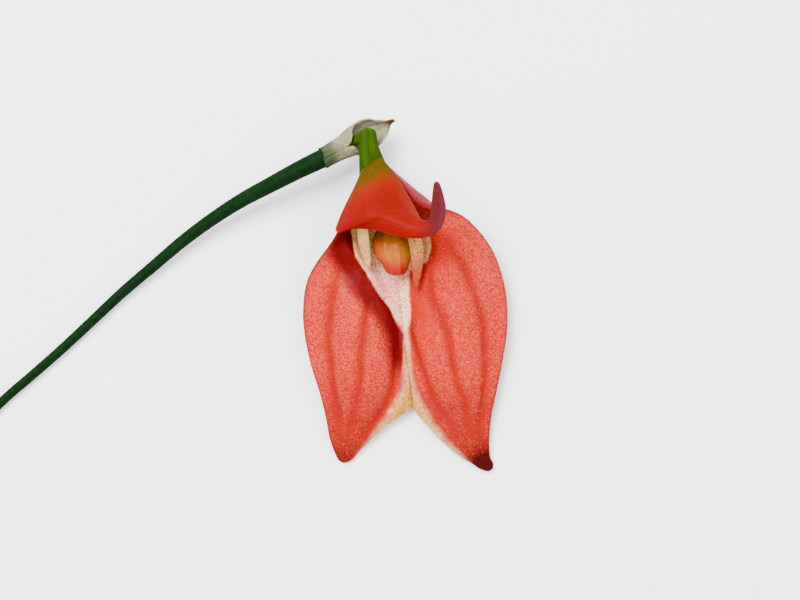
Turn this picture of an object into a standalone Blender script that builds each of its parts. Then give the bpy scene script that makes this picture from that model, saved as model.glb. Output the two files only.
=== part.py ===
"""Cut flower of a masdevallia orchid, lying face up on a flat surface.

The flower looks up (+Z) and its tips point along -Y. The stalk leaves it on the left (-X).
Nodes: scape, bract, ovary, dorsal_sepal, synsepal, petal_left, petal_right, lip, column and anther_cap.
Shapes are written in millimetres in the flower's own frame, whose origin lies under the throat.
An empty carries them all to the part's own origin, under the middle of the whole piece.
"""

import math
from typing import NamedTuple

import bmesh
import bpy
import numpy as np
from mathutils import Vector

MM = 0.001
FLOWER_PLACE = (28.702, 3.018, 0.0)  # mm, from the part's origin to the flower's own


class Station(NamedTuple):
    """One cross-section of a lateral sepal: five points from its seam to its outer margin, in mm."""

    seam: tuple
    floor: tuple
    shoulder: tuple
    blade: tuple
    margin: tuple


class Section(NamedTuple):
    """One cross-section of a solid blade, from its left edge to its right edge, in mm."""

    left: tuple
    right: tuple
    bow: float  # how far its middle rises over the line between its edges
    thickness: float


class Ring(NamedTuple):
    """One cross-section of the bract, in mm, and where its slit begins and ends, in degrees from its top."""

    centre: tuple
    radius: float
    slit_top: float
    slit_foot: float


# Lateral sepals: from the tube's base, round its bag and out to the tips
SEPAL_THICKNESS = 0.7
SEPAL_COLUMNS = 17
ROWS_PER_STATION = 2
NOTCH_STATION = 11  # the two sepals are one sheet as far as this station
VEIN_SHARES = (0.13, 0.45, 0.77)
VEIN_HALF_WIDTH = 0.055
VEIN_DEPTH = 0.35
VEIN_STATIONS = (4.5, 6.5, 10.5, 13.0)  # the veins deepen over the first two and fade over the last two

RIGHT_LOBE = (
    Station((-3.9, 18.2, 4.15), (-3.1, 18.4, 4.35), (-2.5, 18.75, 5.2),
            (-2.35, 19.0, 6.3), (-2.6, 19.0, 7.6)),
    Station((-3.0, 15.5, 2.0), (-1.0, 15.5, 2.4), (0.7, 15.7, 3.9), (1.3, 15.9, 6.2), (0.3, 16.0, 8.3)),
    Station((-2.0, 12.8, 1.1), (0.9, 12.9, 1.5), (3.2, 13.1, 3.6), (4.2, 13.5, 6.2), (2.4, 13.7, 8.6)),
    Station((-1.3, 9.9, 0.6), (1.8, 10.2, 1.1), (4.0, 10.8, 3.7), (5.2, 11.9, 6.2), (5.3, 12.9, 7.8)),
    Station((-0.7, 7.2, 0.6), (1.9, 7.6, 1.1), (4.1, 8.7, 4.4), (5.9, 10.6, 6.4), (7.6, 12.8, 6.5)),
    Station((-0.15, 4.35, 0.9), (1.7, 4.8, 1.8), (3.9, 6.2, 4.9), (7.0, 8.7, 6.4), (10.4, 11.3, 5.0)),
    Station((-0.2, 1.2, 1.4), (1.6, 1.8, 3.0), (4.4, 3.0, 5.8), (8.6, 5.2, 6.0), (13.6, 7.2, 4.1)),
    Station((0.3, -2.2, 1.9), (2.1, -1.9, 3.9), (6.0, -1.0, 5.6), (10.6, 0.5, 5.4), (15.4, 1.9, 3.4)),
    Station((0.65, -5.8, 2.3), (2.6, -5.6, 4.2), (6.4, -5.0, 5.3), (10.9, -4.3, 4.9), (15.8, -3.6, 3.0)),
    Station((1.15, -9.7, 2.4), (3.3, -9.6, 4.0), (7.0, -9.4, 4.8), (11.0, -9.2, 4.4), (15.1, -9.0, 2.7)),
    Station((1.6, -13.3, 2.2), (4.0, -13.5, 3.5), (7.4, -13.7, 4.1), (10.8, -13.9, 3.8), (14.1, -14.1, 2.3)),
    Station((1.75, -15.7, 1.9), (4.4, -16.1, 2.8), (7.4, -16.4, 3.3), (10.5, -16.8, 3.1), (13.5, -17.1, 1.9)),
    Station((4.6, -19.3, 1.5), (6.7, -19.6, 2.1), (8.9, -19.8, 2.5), (11.1, -20.0, 2.3), (13.2, -20.3, 1.5)),
    Station((8.0, -22.5, 1.0), (9.3, -22.6, 1.5), (10.7, -22.7, 1.7), (12.0, -22.8, 1.5), (13.3, -22.8, 1.0)),
    Station((10.4, -24.0, 0.9), (11.3, -24.2, 0.94), (12.15, -24.25, 0.95),
            (12.95, -24.15, 0.94), (13.7, -23.9, 0.9)),
    Station((11.5, -24.75, 0.8), (12.15, -25.05, 0.8), (12.8, -25.2, 0.8),
            (13.3, -25.1, 0.8), (13.7, -24.75, 0.8)),
)
LEFT_LOBE = (
    Station((-3.9, 18.2, 4.15), (-4.75, 17.7, 4.3), (-5.25, 17.4, 5.1), (-5.4, 17.3, 6.3), (-5.1, 17.3, 7.6)),
    Station((-3.0, 15.5, 2.0), (-4.7, 15.5, 2.4), (-5.8, 15.5, 3.8), (-6.2, 15.5, 5.8), (-5.9, 15.5, 7.9)),
    Station((-2.0, 12.8, 1.1), (-4.5, 12.8, 1.4), (-6.5, 12.8, 3.0), (-7.3, 12.8, 5.5), (-7.2, 12.8, 8.0)),
    Station((-1.3, 9.9, 0.6), (-4.3, 9.9, 0.9), (-6.7, 9.9, 3.3), (-7.8, 10.0, 6.2), (-8.4, 10.1, 7.7)),
    Station((-0.7, 7.2, 0.6), (-3.9, 7.1, 1.0), (-6.4, 7.1, 5.4), (-8.3, 7.4, 6.0), (-10.3, 7.8, 5.9)),
    Station((-0.15, 4.35, 0.9), (-2.9, 4.3, 1.6), (-5.5, 4.4, 5.4), (-8.8, 4.9, 4.9), (-12.1, 5.4, 4.9)),
    Station((-0.2, 1.2, 1.4), (-1.9, 1.2, 2.8), (-4.4, 1.5, 5.6), (-8.8, 2.0, 4.9), (-13.6, 2.7, 4.1)),
    Station((0.3, -2.2, 1.9), (-1.2, -2.1, 4.0), (-4.6, -1.8, 5.5), (-9.4, -1.3, 4.9), (-14.2, -0.9, 3.5)),
    Station((0.65, -5.8, 2.3), (-0.9, -5.8, 4.4), (-4.7, -5.6, 5.4), (-9.4, -5.1, 4.8), (-14.1, -4.6, 3.1)),
    Station((1.15, -9.7, 2.4), (-0.7, -9.7, 4.2), (-4.5, -9.6, 5.1), (-8.9, -9.5, 4.5), (-13.2, -9.3, 2.8)),
    Station((1.6, -13.3, 2.2), (-0.7, -13.3, 3.6), (-4.2, -13.4, 4.3),
            (-8.0, -13.4, 3.9), (-11.9, -13.5, 2.4)),
    Station((1.75, -15.7, 1.9), (-0.9, -16.1, 2.9), (-4.0, -16.6, 3.5),
            (-7.5, -16.9, 3.2), (-11.0, -17.1, 2.0)),
    Station((-1.7, -18.4, 1.5), (-3.9, -18.9, 2.2), (-6.1, -19.3, 2.6),
            (-8.4, -19.7, 2.4), (-10.5, -20.0, 1.6)),
    Station((-4.8, -21.2, 1.1), (-6.1, -21.4, 1.6), (-7.4, -21.6, 1.8),
            (-8.6, -21.8, 1.7), (-9.9, -22.0, 1.1)),
    Station((-6.3, -22.75, 0.9), (-7.1, -22.9, 0.94), (-7.9, -23.0, 0.95),
            (-8.7, -22.95, 0.94), (-9.5, -22.8, 0.9)),
    Station((-6.9, -23.45, 0.8), (-7.5, -23.8, 0.8), (-8.1, -23.95, 0.8),
            (-8.6, -23.9, 0.8), (-9.05, -23.6, 0.8)),
)

# Dorsal sepal: a hood over the throat that turns at its left corner and narrows into an upturned tail
DORSAL_SECTIONS = (
    Section((-5.9, 17.4, 8.2), (-2.3, 19.9, 8.3), 0.6, 0.7),
    Section((-6.8, 15.5, 8.6), (-1.0, 18.4, 8.9), 1.5, 0.7),
    Section((-7.9, 13.3, 8.8), (0.0, 16.8, 9.3), 2.4, 0.7),
    Section((-8.8, 11.2, 8.9), (0.9, 15.3, 9.8), 3.0, 0.7),
    Section((-9.05, 9.8, 9.2), (1.6, 14.1, 10.3), 3.1, 0.7),
    Section((-6.6, 10.25, 10.4), (2.1, 13.1, 11.0), 2.3, 0.7),
    Section((-3.2, 9.9, 11.8), (2.5, 12.2, 12.0), 1.4, 0.75),
    Section((-0.2, 9.05, 12.8), (2.9, 11.5, 13.0), 0.8, 0.8),
    Section((2.5, 8.7, 13.7), (3.5, 11.2, 13.8), 0.4, 0.9),
    Section((4.7, 9.2, 14.4), (4.1, 11.4, 14.4), 0.2, 1.0),
    Section((6.0, 10.5, 15.2), (4.35, 12.2, 15.1), 0.1, 1.1),
    Section((6.45, 12.4, 16.1), (4.4, 13.4, 16.0), 0.0, 1.1),
    Section((6.1, 14.5, 17.3), (4.5, 14.9, 17.2), 0.0, 1.0),
    Section((5.5, 16.3, 18.5), (4.7, 16.5, 18.4), 0.0, 0.7),
)
DORSAL_ROUNDNESS = 4.0
DORSAL_COLUMNS = 13

# Lip: a fleshy tongue hinged at the floor of the tube
LIP_SECTIONS = (
    Section((-2.4, 11.5, 1.25), (-0.8, 11.5, 1.25), 0.05, 0.8),
    Section((-3.2, 10.5, 2.7), (0.4, 10.5, 2.7), 0.5, 0.9),
    Section((-4.05, 8.5, 4.2), (1.4, 8.4, 4.4), 1.0, 1.0),
    Section((-3.75, 6.8, 4.4), (1.65, 6.6, 4.6), 1.0, 1.0),
    Section((-2.6, 5.2, 4.5), (1.25, 5.1, 4.6), 0.8, 1.0),
    Section((-2.15, 4.4, 4.35), (1.0, 4.35, 4.4), 0.6, 0.9),
    Section((-1.85, 4.0, 4.1), (0.75, 3.95, 4.15), 0.4, 0.75),
    Section((-1.4, 3.75, 3.9), (0.25, 3.75, 3.9), 0.2, 0.6),
)
LIP_ROUNDNESS = 2.2
LIP_COLUMNS = 15
LIP_KEEL_HEIGHT = 0.25
LIP_KEEL_SHARES = (0.36, 0.64)
LIP_KEEL_HALF_WIDTH = 0.06

PETAL_LEFT_SECTIONS = (
    Section((-5.45, 16.2, 6.4), (-4.75, 16.2, 6.5), 0.0, 0.6),
    Section((-5.8, 13.6, 6.1), (-4.75, 13.6, 6.3), 0.1, 0.6),
    Section((-6.1, 11.4, 6.0), (-4.7, 11.3, 6.5), 0.2, 0.6),
    Section((-6.1, 9.2, 5.9), (-4.5, 9.1, 6.4), 0.2, 0.6),
    Section((-5.7, 7.2, 5.7), (-4.3, 7.1, 6.0), 0.2, 0.6),
    Section((-5.1, 5.6, 5.5), (-4.2, 5.5, 5.6), 0.1, 0.6),
    Section((-4.6, 4.7, 5.4), (-4.3, 4.7, 5.4), 0.0, 0.6),
)
PETAL_RIGHT_SECTIONS = (
    Section((-1.9, 16.2, 6.7), (-1.2, 16.2, 6.6), 0.0, 0.6),
    Section((-0.6, 13.6, 6.6), (0.6, 13.6, 6.4), 0.1, 0.6),
    Section((0.5, 11.2, 6.6), (2.1, 11.2, 6.3), 0.2, 0.6),
    Section((1.2, 8.6, 6.6), (3.1, 8.7, 6.4), 0.25, 0.6),
    Section((1.6, 6.2, 6.3), (3.4, 6.4, 6.3), 0.25, 0.6),
    Section((1.8, 4.0, 6.0), (3.2, 4.2, 6.1), 0.2, 0.6),
    Section((2.0, 2.4, 5.8), (2.8, 2.5, 5.9), 0.1, 0.6),
    Section((2.3, 1.6, 5.6), (2.6, 1.6, 5.6), 0.0, 0.6),
)
PETAL_ROUNDNESS = 2.5
PETAL_COLUMNS = 7

# Column and its cap, inside the tube
COLUMN_SECTIONS = (
    Section((-4.7, 17.9, 6.2), (-2.7, 18.3, 6.2), 0.0, 1.8),
    Section((-4.2, 16.0, 6.7), (-2.4, 16.2, 6.8), 0.2, 1.6),
    Section((-3.9, 14.2, 7.2), (-1.9, 14.3, 7.3), 0.4, 1.5),
    Section((-3.6, 12.6, 7.5), (-1.3, 12.6, 7.6), 0.5, 1.5),
    Section((-3.3, 11.6, 7.5), (-1.3, 11.6, 7.6), 0.4, 1.3),
)
COLUMN_ROUNDNESS = 2.0
COLUMN_COLUMNS = 9
ANTHER_CAP_PLACE = (-2.3, 10.6, 7.8)
ANTHER_CAP_RADII = (0.85, 0.7, 0.75)
ANTHER_CAP_SEGMENTS = (16, 8)

# Stalk: the scape, which arches up from the surface
SCAPE_ROUTE = (
    (-72.6, -32.0, 0.75), (-69.4, -27.2, 0.75), (-65.8, -22.7, 0.75), (-62.0, -18.5, 0.76),
    (-58.0, -14.5, 0.78), (-53.6, -10.7, 0.80), (-49.3, -6.9, 0.83), (-44.9, -2.8, 0.90),
    (-40.6, 1.2, 1.1), (-36.2, 4.9, 1.5), (-31.9, 8.5, 2.1), (-27.5, 11.7, 2.9),
    (-23.2, 14.4, 3.8), (-18.8, 16.7, 4.7), (-14.5, 18.9, 5.5), (-10.9, 20.6, 6.0),
)
SCAPE_RADII = (0.72, 0.71, 0.70, 0.70, 0.70, 0.71, 0.73, 0.76, 0.80, 0.85, 0.91, 0.98, 1.07, 1.18, 1.30, 1.40)
SCAPE_POINTS = 40
SCAPE_BEVEL_RESOLUTION = 4
SCAPE_SHOULDER_SHARE = 0.05  # how much of the neck's length the shoulder takes
NECK_END = (-8.3, 21.9, 5.75)
NECK_RADIUS = 0.55

# Bract: a sheath round the neck, closed as far as its slit, with a sharp tip
BRACT_RINGS = (
    Ring((-10.5, 20.82, 6.0), 1.2, -12.0, -12.0),
    Ring((-9.2, 21.55, 5.85), 1.3, -12.0, -12.0),
    Ring((-8.0, 22.2, 5.6), 1.5, -12.0, -12.0),
    Ring((-7.2, 22.7, 5.35), 1.75, 6.0, -35.0),
    Ring((-6.5, 23.05, 5.2), 1.95, 38.0, -95.0),
    Ring((-5.7, 23.4, 5.2), 2.1, 66.0, -110.0),
    Ring((-4.9, 23.8, 5.25), 2.15, 78.0, -112.0),
    Ring((-4.0, 24.2, 5.3), 2.0, 85.0, -108.0),
    Ring((-3.3, 24.45, 5.5), 1.6, 85.0, -100.0),
    Ring((-2.7, 24.7, 5.7), 1.2, 85.0, -110.0),
    Ring((-2.1, 24.9, 6.0), 0.9, 86.0, -145.0),
    Ring((-1.5, 25.15, 6.3), 0.65, 90.0, -190.0),
    Ring((-0.8, 25.4, 6.7), 0.55, 100.0, -210.0),
)
BRACT_CLOSED_RINGS = 2  # how many rings after the first are closed all round
BRACT_ROWS_PER_RING = 2
BRACT_COLUMNS = 18
BRACT_THICKNESS = 0.6

# Ovary: six ribs, a domed top, and the pedicel that joins it inside the bract
OVARY_ROUTE = (
    (-4.7, 24.8, 7.1), (-4.6, 23.3, 7.05), (-4.45, 21.6, 6.9), (-4.25, 20.2, 6.5), (-4.1, 19.2, 6.1),
)
OVARY_RADII = (1.15, 1.25, 1.4, 1.6, 1.8)
OVARY_ROWS = 18
OVARY_ROW_CROWDING = 1.5  # the rows crowd towards the dome
OVARY_DOME_SHARE = 0.14  # how much of its length the dome takes
OVARY_DOME_TOP = 0.3  # the dome's first ring, as a share of its radius
OVARY_SIDES = 24
OVARY_RIBS = 6
OVARY_RIB_HEIGHT = 0.05  # as a share of its radius
OVARY_END_SLANT = 0.6  # how much further its right side reaches back than its left side
PEDICEL_ROUTE = ((-7.9, 22.2, 5.65), (-6.7, 22.9, 5.65), (-5.2, 23.7, 6.5))
PEDICEL_RADIUS = 0.75
PEDICEL_ROWS = 6
PEDICEL_SIDES = 12

# The block under the surface, which leaves small flat spots where the flower touches it
TRIM_LOW = (-20.0, -30.0, -5.0)
TRIM_HIGH = (20.0, 25.0, 0.0)


def spline(values, t):
    """Values read at t from a Catmull-Rom curve through them, with t counting from 0 at the first."""
    values = np.asarray(values, float)
    last = len(values) - 1
    t = np.clip(np.asarray(t, float), 0.0, last)
    start = np.minimum(t.astype(int), last - 1)
    x = (t - start).reshape(t.shape + (1,) * (values.ndim - 1))
    padded = np.concatenate([2 * values[:1] - values[1:2], values, 2 * values[-1:] - values[-2:-1]])
    before, near, far, after = (padded[start + k] for k in range(4))
    return 0.5 * (2 * near + (far - before) * x + (2 * before - 5 * near + 4 * far - after) * x**2
                  + (3 * near - before - 3 * far + after) * x**3)


def faded(value, low, high):
    """0 below low, 1 above high, and smooth between them."""
    x = np.clip((value - low) / (high - low), 0.0, 1.0)
    return x * x * (3 - 2 * x)


def triangles(bm, corners, flip=False):
    """Two triangles for a quad, split on the same diagonal on every sheet."""
    a, b, c, d = corners
    for corner in ((a, b, c), (a, c, d)):
        if len(set(corner)) == 3:
            bm.faces.new(corner[::-1] if flip else corner)


def add_object(name, bm, collection, material=None):
    """A smooth object from a mesh in millimetres, carried by the flower's empty."""
    bmesh.ops.scale(bm, vec=(MM, MM, MM), verts=bm.verts)
    mesh = bpy.data.meshes.new(name)
    bm.to_mesh(mesh)
    bm.free()
    mesh.shade_smooth()
    if material:
        mesh.materials.append(material)
    made = bpy.data.objects.new(name, mesh)
    collection.objects.link(made)
    made.parent = carrier
    return made


def thicken(obj, thickness, offset):
    """Gives a sheet its thickness, on its back alone with an offset of -1, or on both sides with 0."""
    shell = obj.modifiers.new("thickness", "SOLIDIFY")
    shell.thickness = thickness * MM
    shell.offset = offset
    shell.use_even_offset = False


def lobe_points(stations, rows, shares):
    """The front surface of one lateral sepal, as rows x shares x 3 points."""
    profiles = spline(stations, rows)
    points = np.stack([spline(profile, shares * (len(profile) - 1)) for profile in profiles])
    deepen, deep, fade, gone = VEIN_STATIONS
    depth = VEIN_DEPTH * faded(rows, deepen, deep) * (1 - faded(rows, fade, gone))
    for vein in VEIN_SHARES:
        points[..., 2] -= depth[:, None] * np.exp(-(((shares - vein) / VEIN_HALF_WIDTH) ** 2))
    return points


def make_synsepal(material):
    """Both lateral sepals as one sheet, open at the notch, thickened towards the back."""
    last_row = (len(RIGHT_LOBE) - 1) * ROWS_PER_STATION
    rows = np.arange(last_row + 1) / ROWS_PER_STATION
    shares = np.linspace(0, 1, SEPAL_COLUMNS)
    bm = bmesh.new()
    seam = []
    for stations, is_left in ((RIGHT_LOBE, False), (LEFT_LOBE, True)):
        points = lobe_points(stations, rows, shares)
        seam = seam + [bm.verts.new(row[0]) for row in points[len(seam):]]
        grid = [[start, *(bm.verts.new(p) for p in row[1:])] for start, row in zip(seam, points)]
        for low, high in zip(grid, grid[1:]):
            for j in range(SEPAL_COLUMNS - 1):
                triangles(bm, (low[j], high[j], high[j + 1], low[j + 1]), is_left)
        seam = seam[: NOTCH_STATION * ROWS_PER_STATION + 1]
    made = add_object("synsepal", bm, flower, material)
    thicken(made, SEPAL_THICKNESS, -1.0)
    trim = made.modifiers.new("flat spots", "BOOLEAN")
    trim.operation = "DIFFERENCE"
    trim.object = make_trimming_block()


def make_trimming_block():
    """The block under the surface that the flower lies on, as a cutter."""
    low, high = Vector(TRIM_LOW), Vector(TRIM_HIGH)
    bm = bmesh.new()
    bmesh.ops.create_cube(bm, size=1.0)
    bmesh.ops.scale(bm, vec=high - low, verts=bm.verts)
    bmesh.ops.translate(bm, vec=(high + low) / 2, verts=bm.verts)
    made = add_object("trimming_block", bm, cutters)
    made.hide_render = True
    made.display_type = "WIRE"
    return made


def blade_mesh(middle, thickness):
    """A closed solid round a middle surface of rows x columns x 3 points, with sharp side edges."""
    normal = np.cross(np.gradient(middle, axis=0), np.gradient(middle, axis=1))
    normal /= np.linalg.norm(normal, axis=2, keepdims=True)
    offset = normal * thickness[..., None] / 2
    bm = bmesh.new()
    front = [[bm.verts.new(p) for p in row] for row in middle + offset]
    back = [
        [edge[0], *(bm.verts.new(p) for p in row[1:-1]), edge[-1]]
        for edge, row in zip(front, middle - offset)
    ]
    for side, flip in ((front, False), (back, True)):
        for low, high in zip(side, side[1:]):
            for j in range(len(low) - 1):
                triangles(bm, (low[j], high[j], high[j + 1], low[j + 1]), flip)
    for i in (0, -1):
        for j in range(len(front[i]) - 1):
            triangles(bm, (front[i][j], front[i][j + 1], back[i][j + 1], back[i][j]))
    bmesh.ops.recalc_face_normals(bm, faces=bm.faces)
    return bm


def make_blade(name, sections, material, columns, roundness, keels=()):
    """A solid blade lofted through its sections, thick in the middle and rounded towards both edges."""
    rows = np.linspace(0, len(sections) - 1, 2 * len(sections) - 1)
    shares = 0.5 - 0.5 * np.cos(np.linspace(0, np.pi, columns))
    left, right, bow, thickness = (
        spline([section[k] for section in sections], rows)[:, None] for k in range(len(Section._fields))
    )
    middle = left + (right - left) * shares[:, None]
    middle[..., 2] += bow * np.sin(np.pi * shares)
    profile = (1 - np.abs(2 * shares - 1) ** roundness) ** (1 / roundness)
    thickness = thickness * profile
    for keel in keels:
        ridge = np.exp(-(((shares - keel) / LIP_KEEL_HALF_WIDTH) ** 2))
        thickness = thickness + 2 * LIP_KEEL_HEIGHT * profile * ridge
    add_object(name, blade_mesh(middle, thickness), flower, material)


def frames_along(points):
    """Two directions square to a path at each of its points: level to its side, and up."""
    tangents = np.gradient(points, axis=0)
    side = np.cross((0.0, 0.0, 1.0), tangents)
    side /= np.linalg.norm(side, axis=1, keepdims=True)
    up = np.cross(tangents, side)
    up /= np.linalg.norm(up, axis=1, keepdims=True)
    return side, up


def tube_mesh(points, radii, sides, ribs=0, rib_height=0.0, slant=0.0):
    """A closed tube along a path, which swells into ribs, and whose rings slant more towards its end."""
    turn = np.arange(sides) * 2 * np.pi / sides
    swell = 1 + rib_height * np.cos(ribs * turn)
    side, up = frames_along(points)
    bm = bmesh.new()
    rings = []
    for i, (point, radius) in enumerate(zip(points, radii)):
        spread = np.outer(np.cos(turn), side[i]) + np.outer(np.sin(turn), up[i])
        spread *= radius * swell[:, None]
        spread[:, 1] += slant * (i / len(points)) ** 2 * spread[:, 0]
        rings.append([bm.verts.new(p) for p in point + spread])
    for low, high in zip(rings, rings[1:]):
        for k in range(sides):
            after = (k + 1) % sides
            triangles(bm, (low[k], low[after], high[after], high[k]))
    bm.faces.new(rings[0])
    bm.faces.new(rings[-1])
    bmesh.ops.recalc_face_normals(bm, faces=bm.faces)
    return bm


def make_scape(material):
    """The flower stalk as a tapering wire, which ends in a thin neck inside the bract."""
    t = np.linspace(0, len(SCAPE_ROUTE) - 1, SCAPE_POINTS)
    points = spline(SCAPE_ROUTE, t)
    neck = np.array(NECK_END)
    route = [*points, points[-1] + SCAPE_SHOULDER_SHARE * (neck - points[-1]), neck]
    widths = [*spline(SCAPE_RADII, t), NECK_RADIUS, NECK_RADIUS]
    curve = bpy.data.curves.new("scape", "CURVE")
    curve.dimensions = "3D"
    curve.bevel_depth = MM
    curve.bevel_resolution = SCAPE_BEVEL_RESOLUTION
    curve.use_fill_caps = True
    line = curve.splines.new("POLY")
    line.points.add(len(route) - 1)
    for spot, place, width in zip(line.points, route, widths):
        spot.co = (*(place * MM), 1.0)
        spot.radius = width
    curve.materials.append(material)
    made = bpy.data.objects.new("scape", curve)
    flower.objects.link(made)
    made.parent = carrier


def make_bract(material):
    """The papery sheath: closed rings round the neck, then open ones that narrow to a sharp tip."""
    rows = np.arange((len(BRACT_RINGS) - 1) * BRACT_ROWS_PER_RING + 1) / BRACT_ROWS_PER_RING
    centres, radii, slit_top, slit_foot = (
        spline([ring[k] for ring in BRACT_RINGS], rows) for k in range(len(Ring._fields))
    )
    side, up = frames_along(centres)
    bm = bmesh.new()
    grid = []
    for i, row in enumerate(rows):
        is_closed = row <= BRACT_CLOSED_RINGS
        end = slit_foot[i] + 360
        angles = np.radians(np.linspace(slit_top[i], end, BRACT_COLUMNS))
        places = centres[i] + radii[i] * (np.outer(np.sin(angles), side[i]) + np.outer(np.cos(angles), up[i]))
        ring = [bm.verts.new(p) for p in (places[:-1] if is_closed else places)]
        grid.append([*ring, ring[0]] if is_closed else ring)
    for low, high in zip(grid, grid[1:]):
        for j in range(BRACT_COLUMNS - 1):
            triangles(bm, (low[j], high[j], high[j + 1], low[j + 1]))
    bmesh.ops.recalc_face_normals(bm, faces=bm.faces)
    thicken(add_object("bract", bm, flower, material), BRACT_THICKNESS, 0.0)


def make_ovary(material):
    """The ribbed ovary with its pedicel, one piece joined by a union."""
    share = np.linspace(0, 1, OVARY_ROWS) ** OVARY_ROW_CROWDING
    t = share * (len(OVARY_ROUTE) - 1)
    height = np.clip(share / OVARY_DOME_SHARE, 0, 1)
    dome = OVARY_DOME_TOP + (1 - OVARY_DOME_TOP) * np.sqrt(1 - (1 - height) ** 2)
    radii = spline(OVARY_RADII, t) * dome
    ribs = (OVARY_RIBS, OVARY_RIB_HEIGHT)
    body = tube_mesh(spline(OVARY_ROUTE, t), radii, OVARY_SIDES, *ribs, OVARY_END_SLANT)
    made = add_object("ovary", body, flower, material)
    t = np.linspace(0, len(PEDICEL_ROUTE) - 1, PEDICEL_ROWS)
    stalk = tube_mesh(spline(PEDICEL_ROUTE, t), [PEDICEL_RADIUS] * PEDICEL_ROWS, PEDICEL_SIDES)
    pedicel = add_object("pedicel", stalk, cutters, material)
    pedicel.hide_render = True
    pedicel.display_type = "WIRE"
    join = made.modifiers.new("pedicel", "BOOLEAN")
    join.operation = "UNION"
    join.object = pedicel


def make_anther_cap(material):
    """The small cap over the pollen at the column's end."""
    bm = bmesh.new()
    around, along = ANTHER_CAP_SEGMENTS
    bmesh.ops.create_uvsphere(bm, u_segments=around, v_segments=along, radius=1.0)
    bmesh.ops.scale(bm, vec=ANTHER_CAP_RADII, verts=bm.verts)
    bmesh.ops.translate(bm, vec=ANTHER_CAP_PLACE, verts=bm.verts)
    add_object("anther_cap", bm, flower, material)


def make_material(name, colour, roughness):
    """A plain finish for one kind of tissue."""
    material = bpy.data.materials.new(name)
    material.use_nodes = True
    shader = material.node_tree.nodes["Principled BSDF"]
    shader.inputs["Base Color"].default_value = (*colour, 1.0)
    shader.inputs["Roughness"].default_value = roughness
    shader.inputs["Metallic"].default_value = 0.0
    return material


for old in list(bpy.data.objects):
    bpy.data.objects.remove(old)

flower = bpy.data.collections.new("masdevallia_flower")
cutters = bpy.data.collections.new("cutters")
bpy.context.scene.collection.children.link(flower)
bpy.context.scene.collection.children.link(cutters)
carrier = bpy.data.objects.new("flower_frame", None)
flower.objects.link(carrier)
carrier.location = Vector(FLOWER_PLACE) * MM

make_scape(make_material("scape_green", (0.03, 0.16, 0.05), 0.45))
make_bract(make_material("bract_paper", (0.52, 0.45, 0.30), 0.75))
make_ovary(make_material("ovary_green", (0.22, 0.42, 0.03), 0.40))
make_synsepal(make_material("sepal_coral", (0.78, 0.12, 0.07), 0.50))
dorsal_orange = make_material("dorsal_orange", (0.78, 0.10, 0.02), 0.45)
make_blade("dorsal_sepal", DORSAL_SECTIONS, dorsal_orange, DORSAL_COLUMNS, DORSAL_ROUNDNESS)
petal_cream = make_material("petal_cream", (0.82, 0.58, 0.30), 0.50)
make_blade("petal_left", PETAL_LEFT_SECTIONS, petal_cream, PETAL_COLUMNS, PETAL_ROUNDNESS)
make_blade("petal_right", PETAL_RIGHT_SECTIONS, petal_cream, PETAL_COLUMNS, PETAL_ROUNDNESS)
lip_orange = make_material("lip_orange", (0.80, 0.26, 0.03), 0.35)
make_blade("lip", LIP_SECTIONS, lip_orange, LIP_COLUMNS, LIP_ROUNDNESS, LIP_KEEL_SHARES)
column_yellow = make_material("column_yellow", (0.72, 0.55, 0.12), 0.40)
make_blade("column", COLUMN_SECTIONS, column_yellow, COLUMN_COLUMNS, COLUMN_ROUNDNESS)
make_anther_cap(make_material("cap_white", (0.85, 0.80, 0.60), 0.40))
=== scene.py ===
"""Masdevallia orchid flower, cut and lying face up, dressed over its CAD frame.

Shapes are set out in millimetres in the flower's own frame, whose z axis is the camera's line
of sight and whose z zero is the surface. They move to the part's frame when meshes are made.
"""

import logging
import math
from dataclasses import dataclass, field
from enum import Enum
from typing import ClassVar, Dict, List, Optional, Tuple, Union

import bmesh
import bpy
import numpy as np
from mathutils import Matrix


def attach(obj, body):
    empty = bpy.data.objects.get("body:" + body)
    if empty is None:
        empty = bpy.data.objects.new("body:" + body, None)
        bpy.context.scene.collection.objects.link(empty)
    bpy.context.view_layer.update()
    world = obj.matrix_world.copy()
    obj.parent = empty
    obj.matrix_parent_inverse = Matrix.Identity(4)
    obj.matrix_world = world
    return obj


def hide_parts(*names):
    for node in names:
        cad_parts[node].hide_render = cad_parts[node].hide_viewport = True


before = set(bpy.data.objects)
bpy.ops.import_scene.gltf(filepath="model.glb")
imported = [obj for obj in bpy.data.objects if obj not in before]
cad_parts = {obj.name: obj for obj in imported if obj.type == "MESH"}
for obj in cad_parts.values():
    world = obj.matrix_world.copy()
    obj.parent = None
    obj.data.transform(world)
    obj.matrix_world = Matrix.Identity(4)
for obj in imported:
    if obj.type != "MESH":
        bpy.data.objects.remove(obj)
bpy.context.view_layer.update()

logging.basicConfig(level=logging.INFO, format="%(message)s")
LOG = logging.getLogger("orchid")

Array = np.ndarray
Colour = Tuple[float, float, float]
Feeds = Dict[Union[int, str], object]
Masks = Dict[str, Array]
Material = bpy.types.Material
Object = bpy.types.Object
Socket = bpy.types.NodeSocket
Tree = bpy.types.NodeTree

MM = 0.001
FULL_TURN = 2.0 * math.pi
FLOWER_PLACE = np.array([28.702, 3.018, 0.0])
WELD_DISTANCE = 0.000002
SHARP_EDGE = 50.0
BLADE_SHARP_EDGE = 70.0
BEAD_SEED = 11
BEAD_DENSITY = 1.9e6
BEAD_RADIUS = 0.00007
BEAD_SIZES = (0.5, 0.7)

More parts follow.
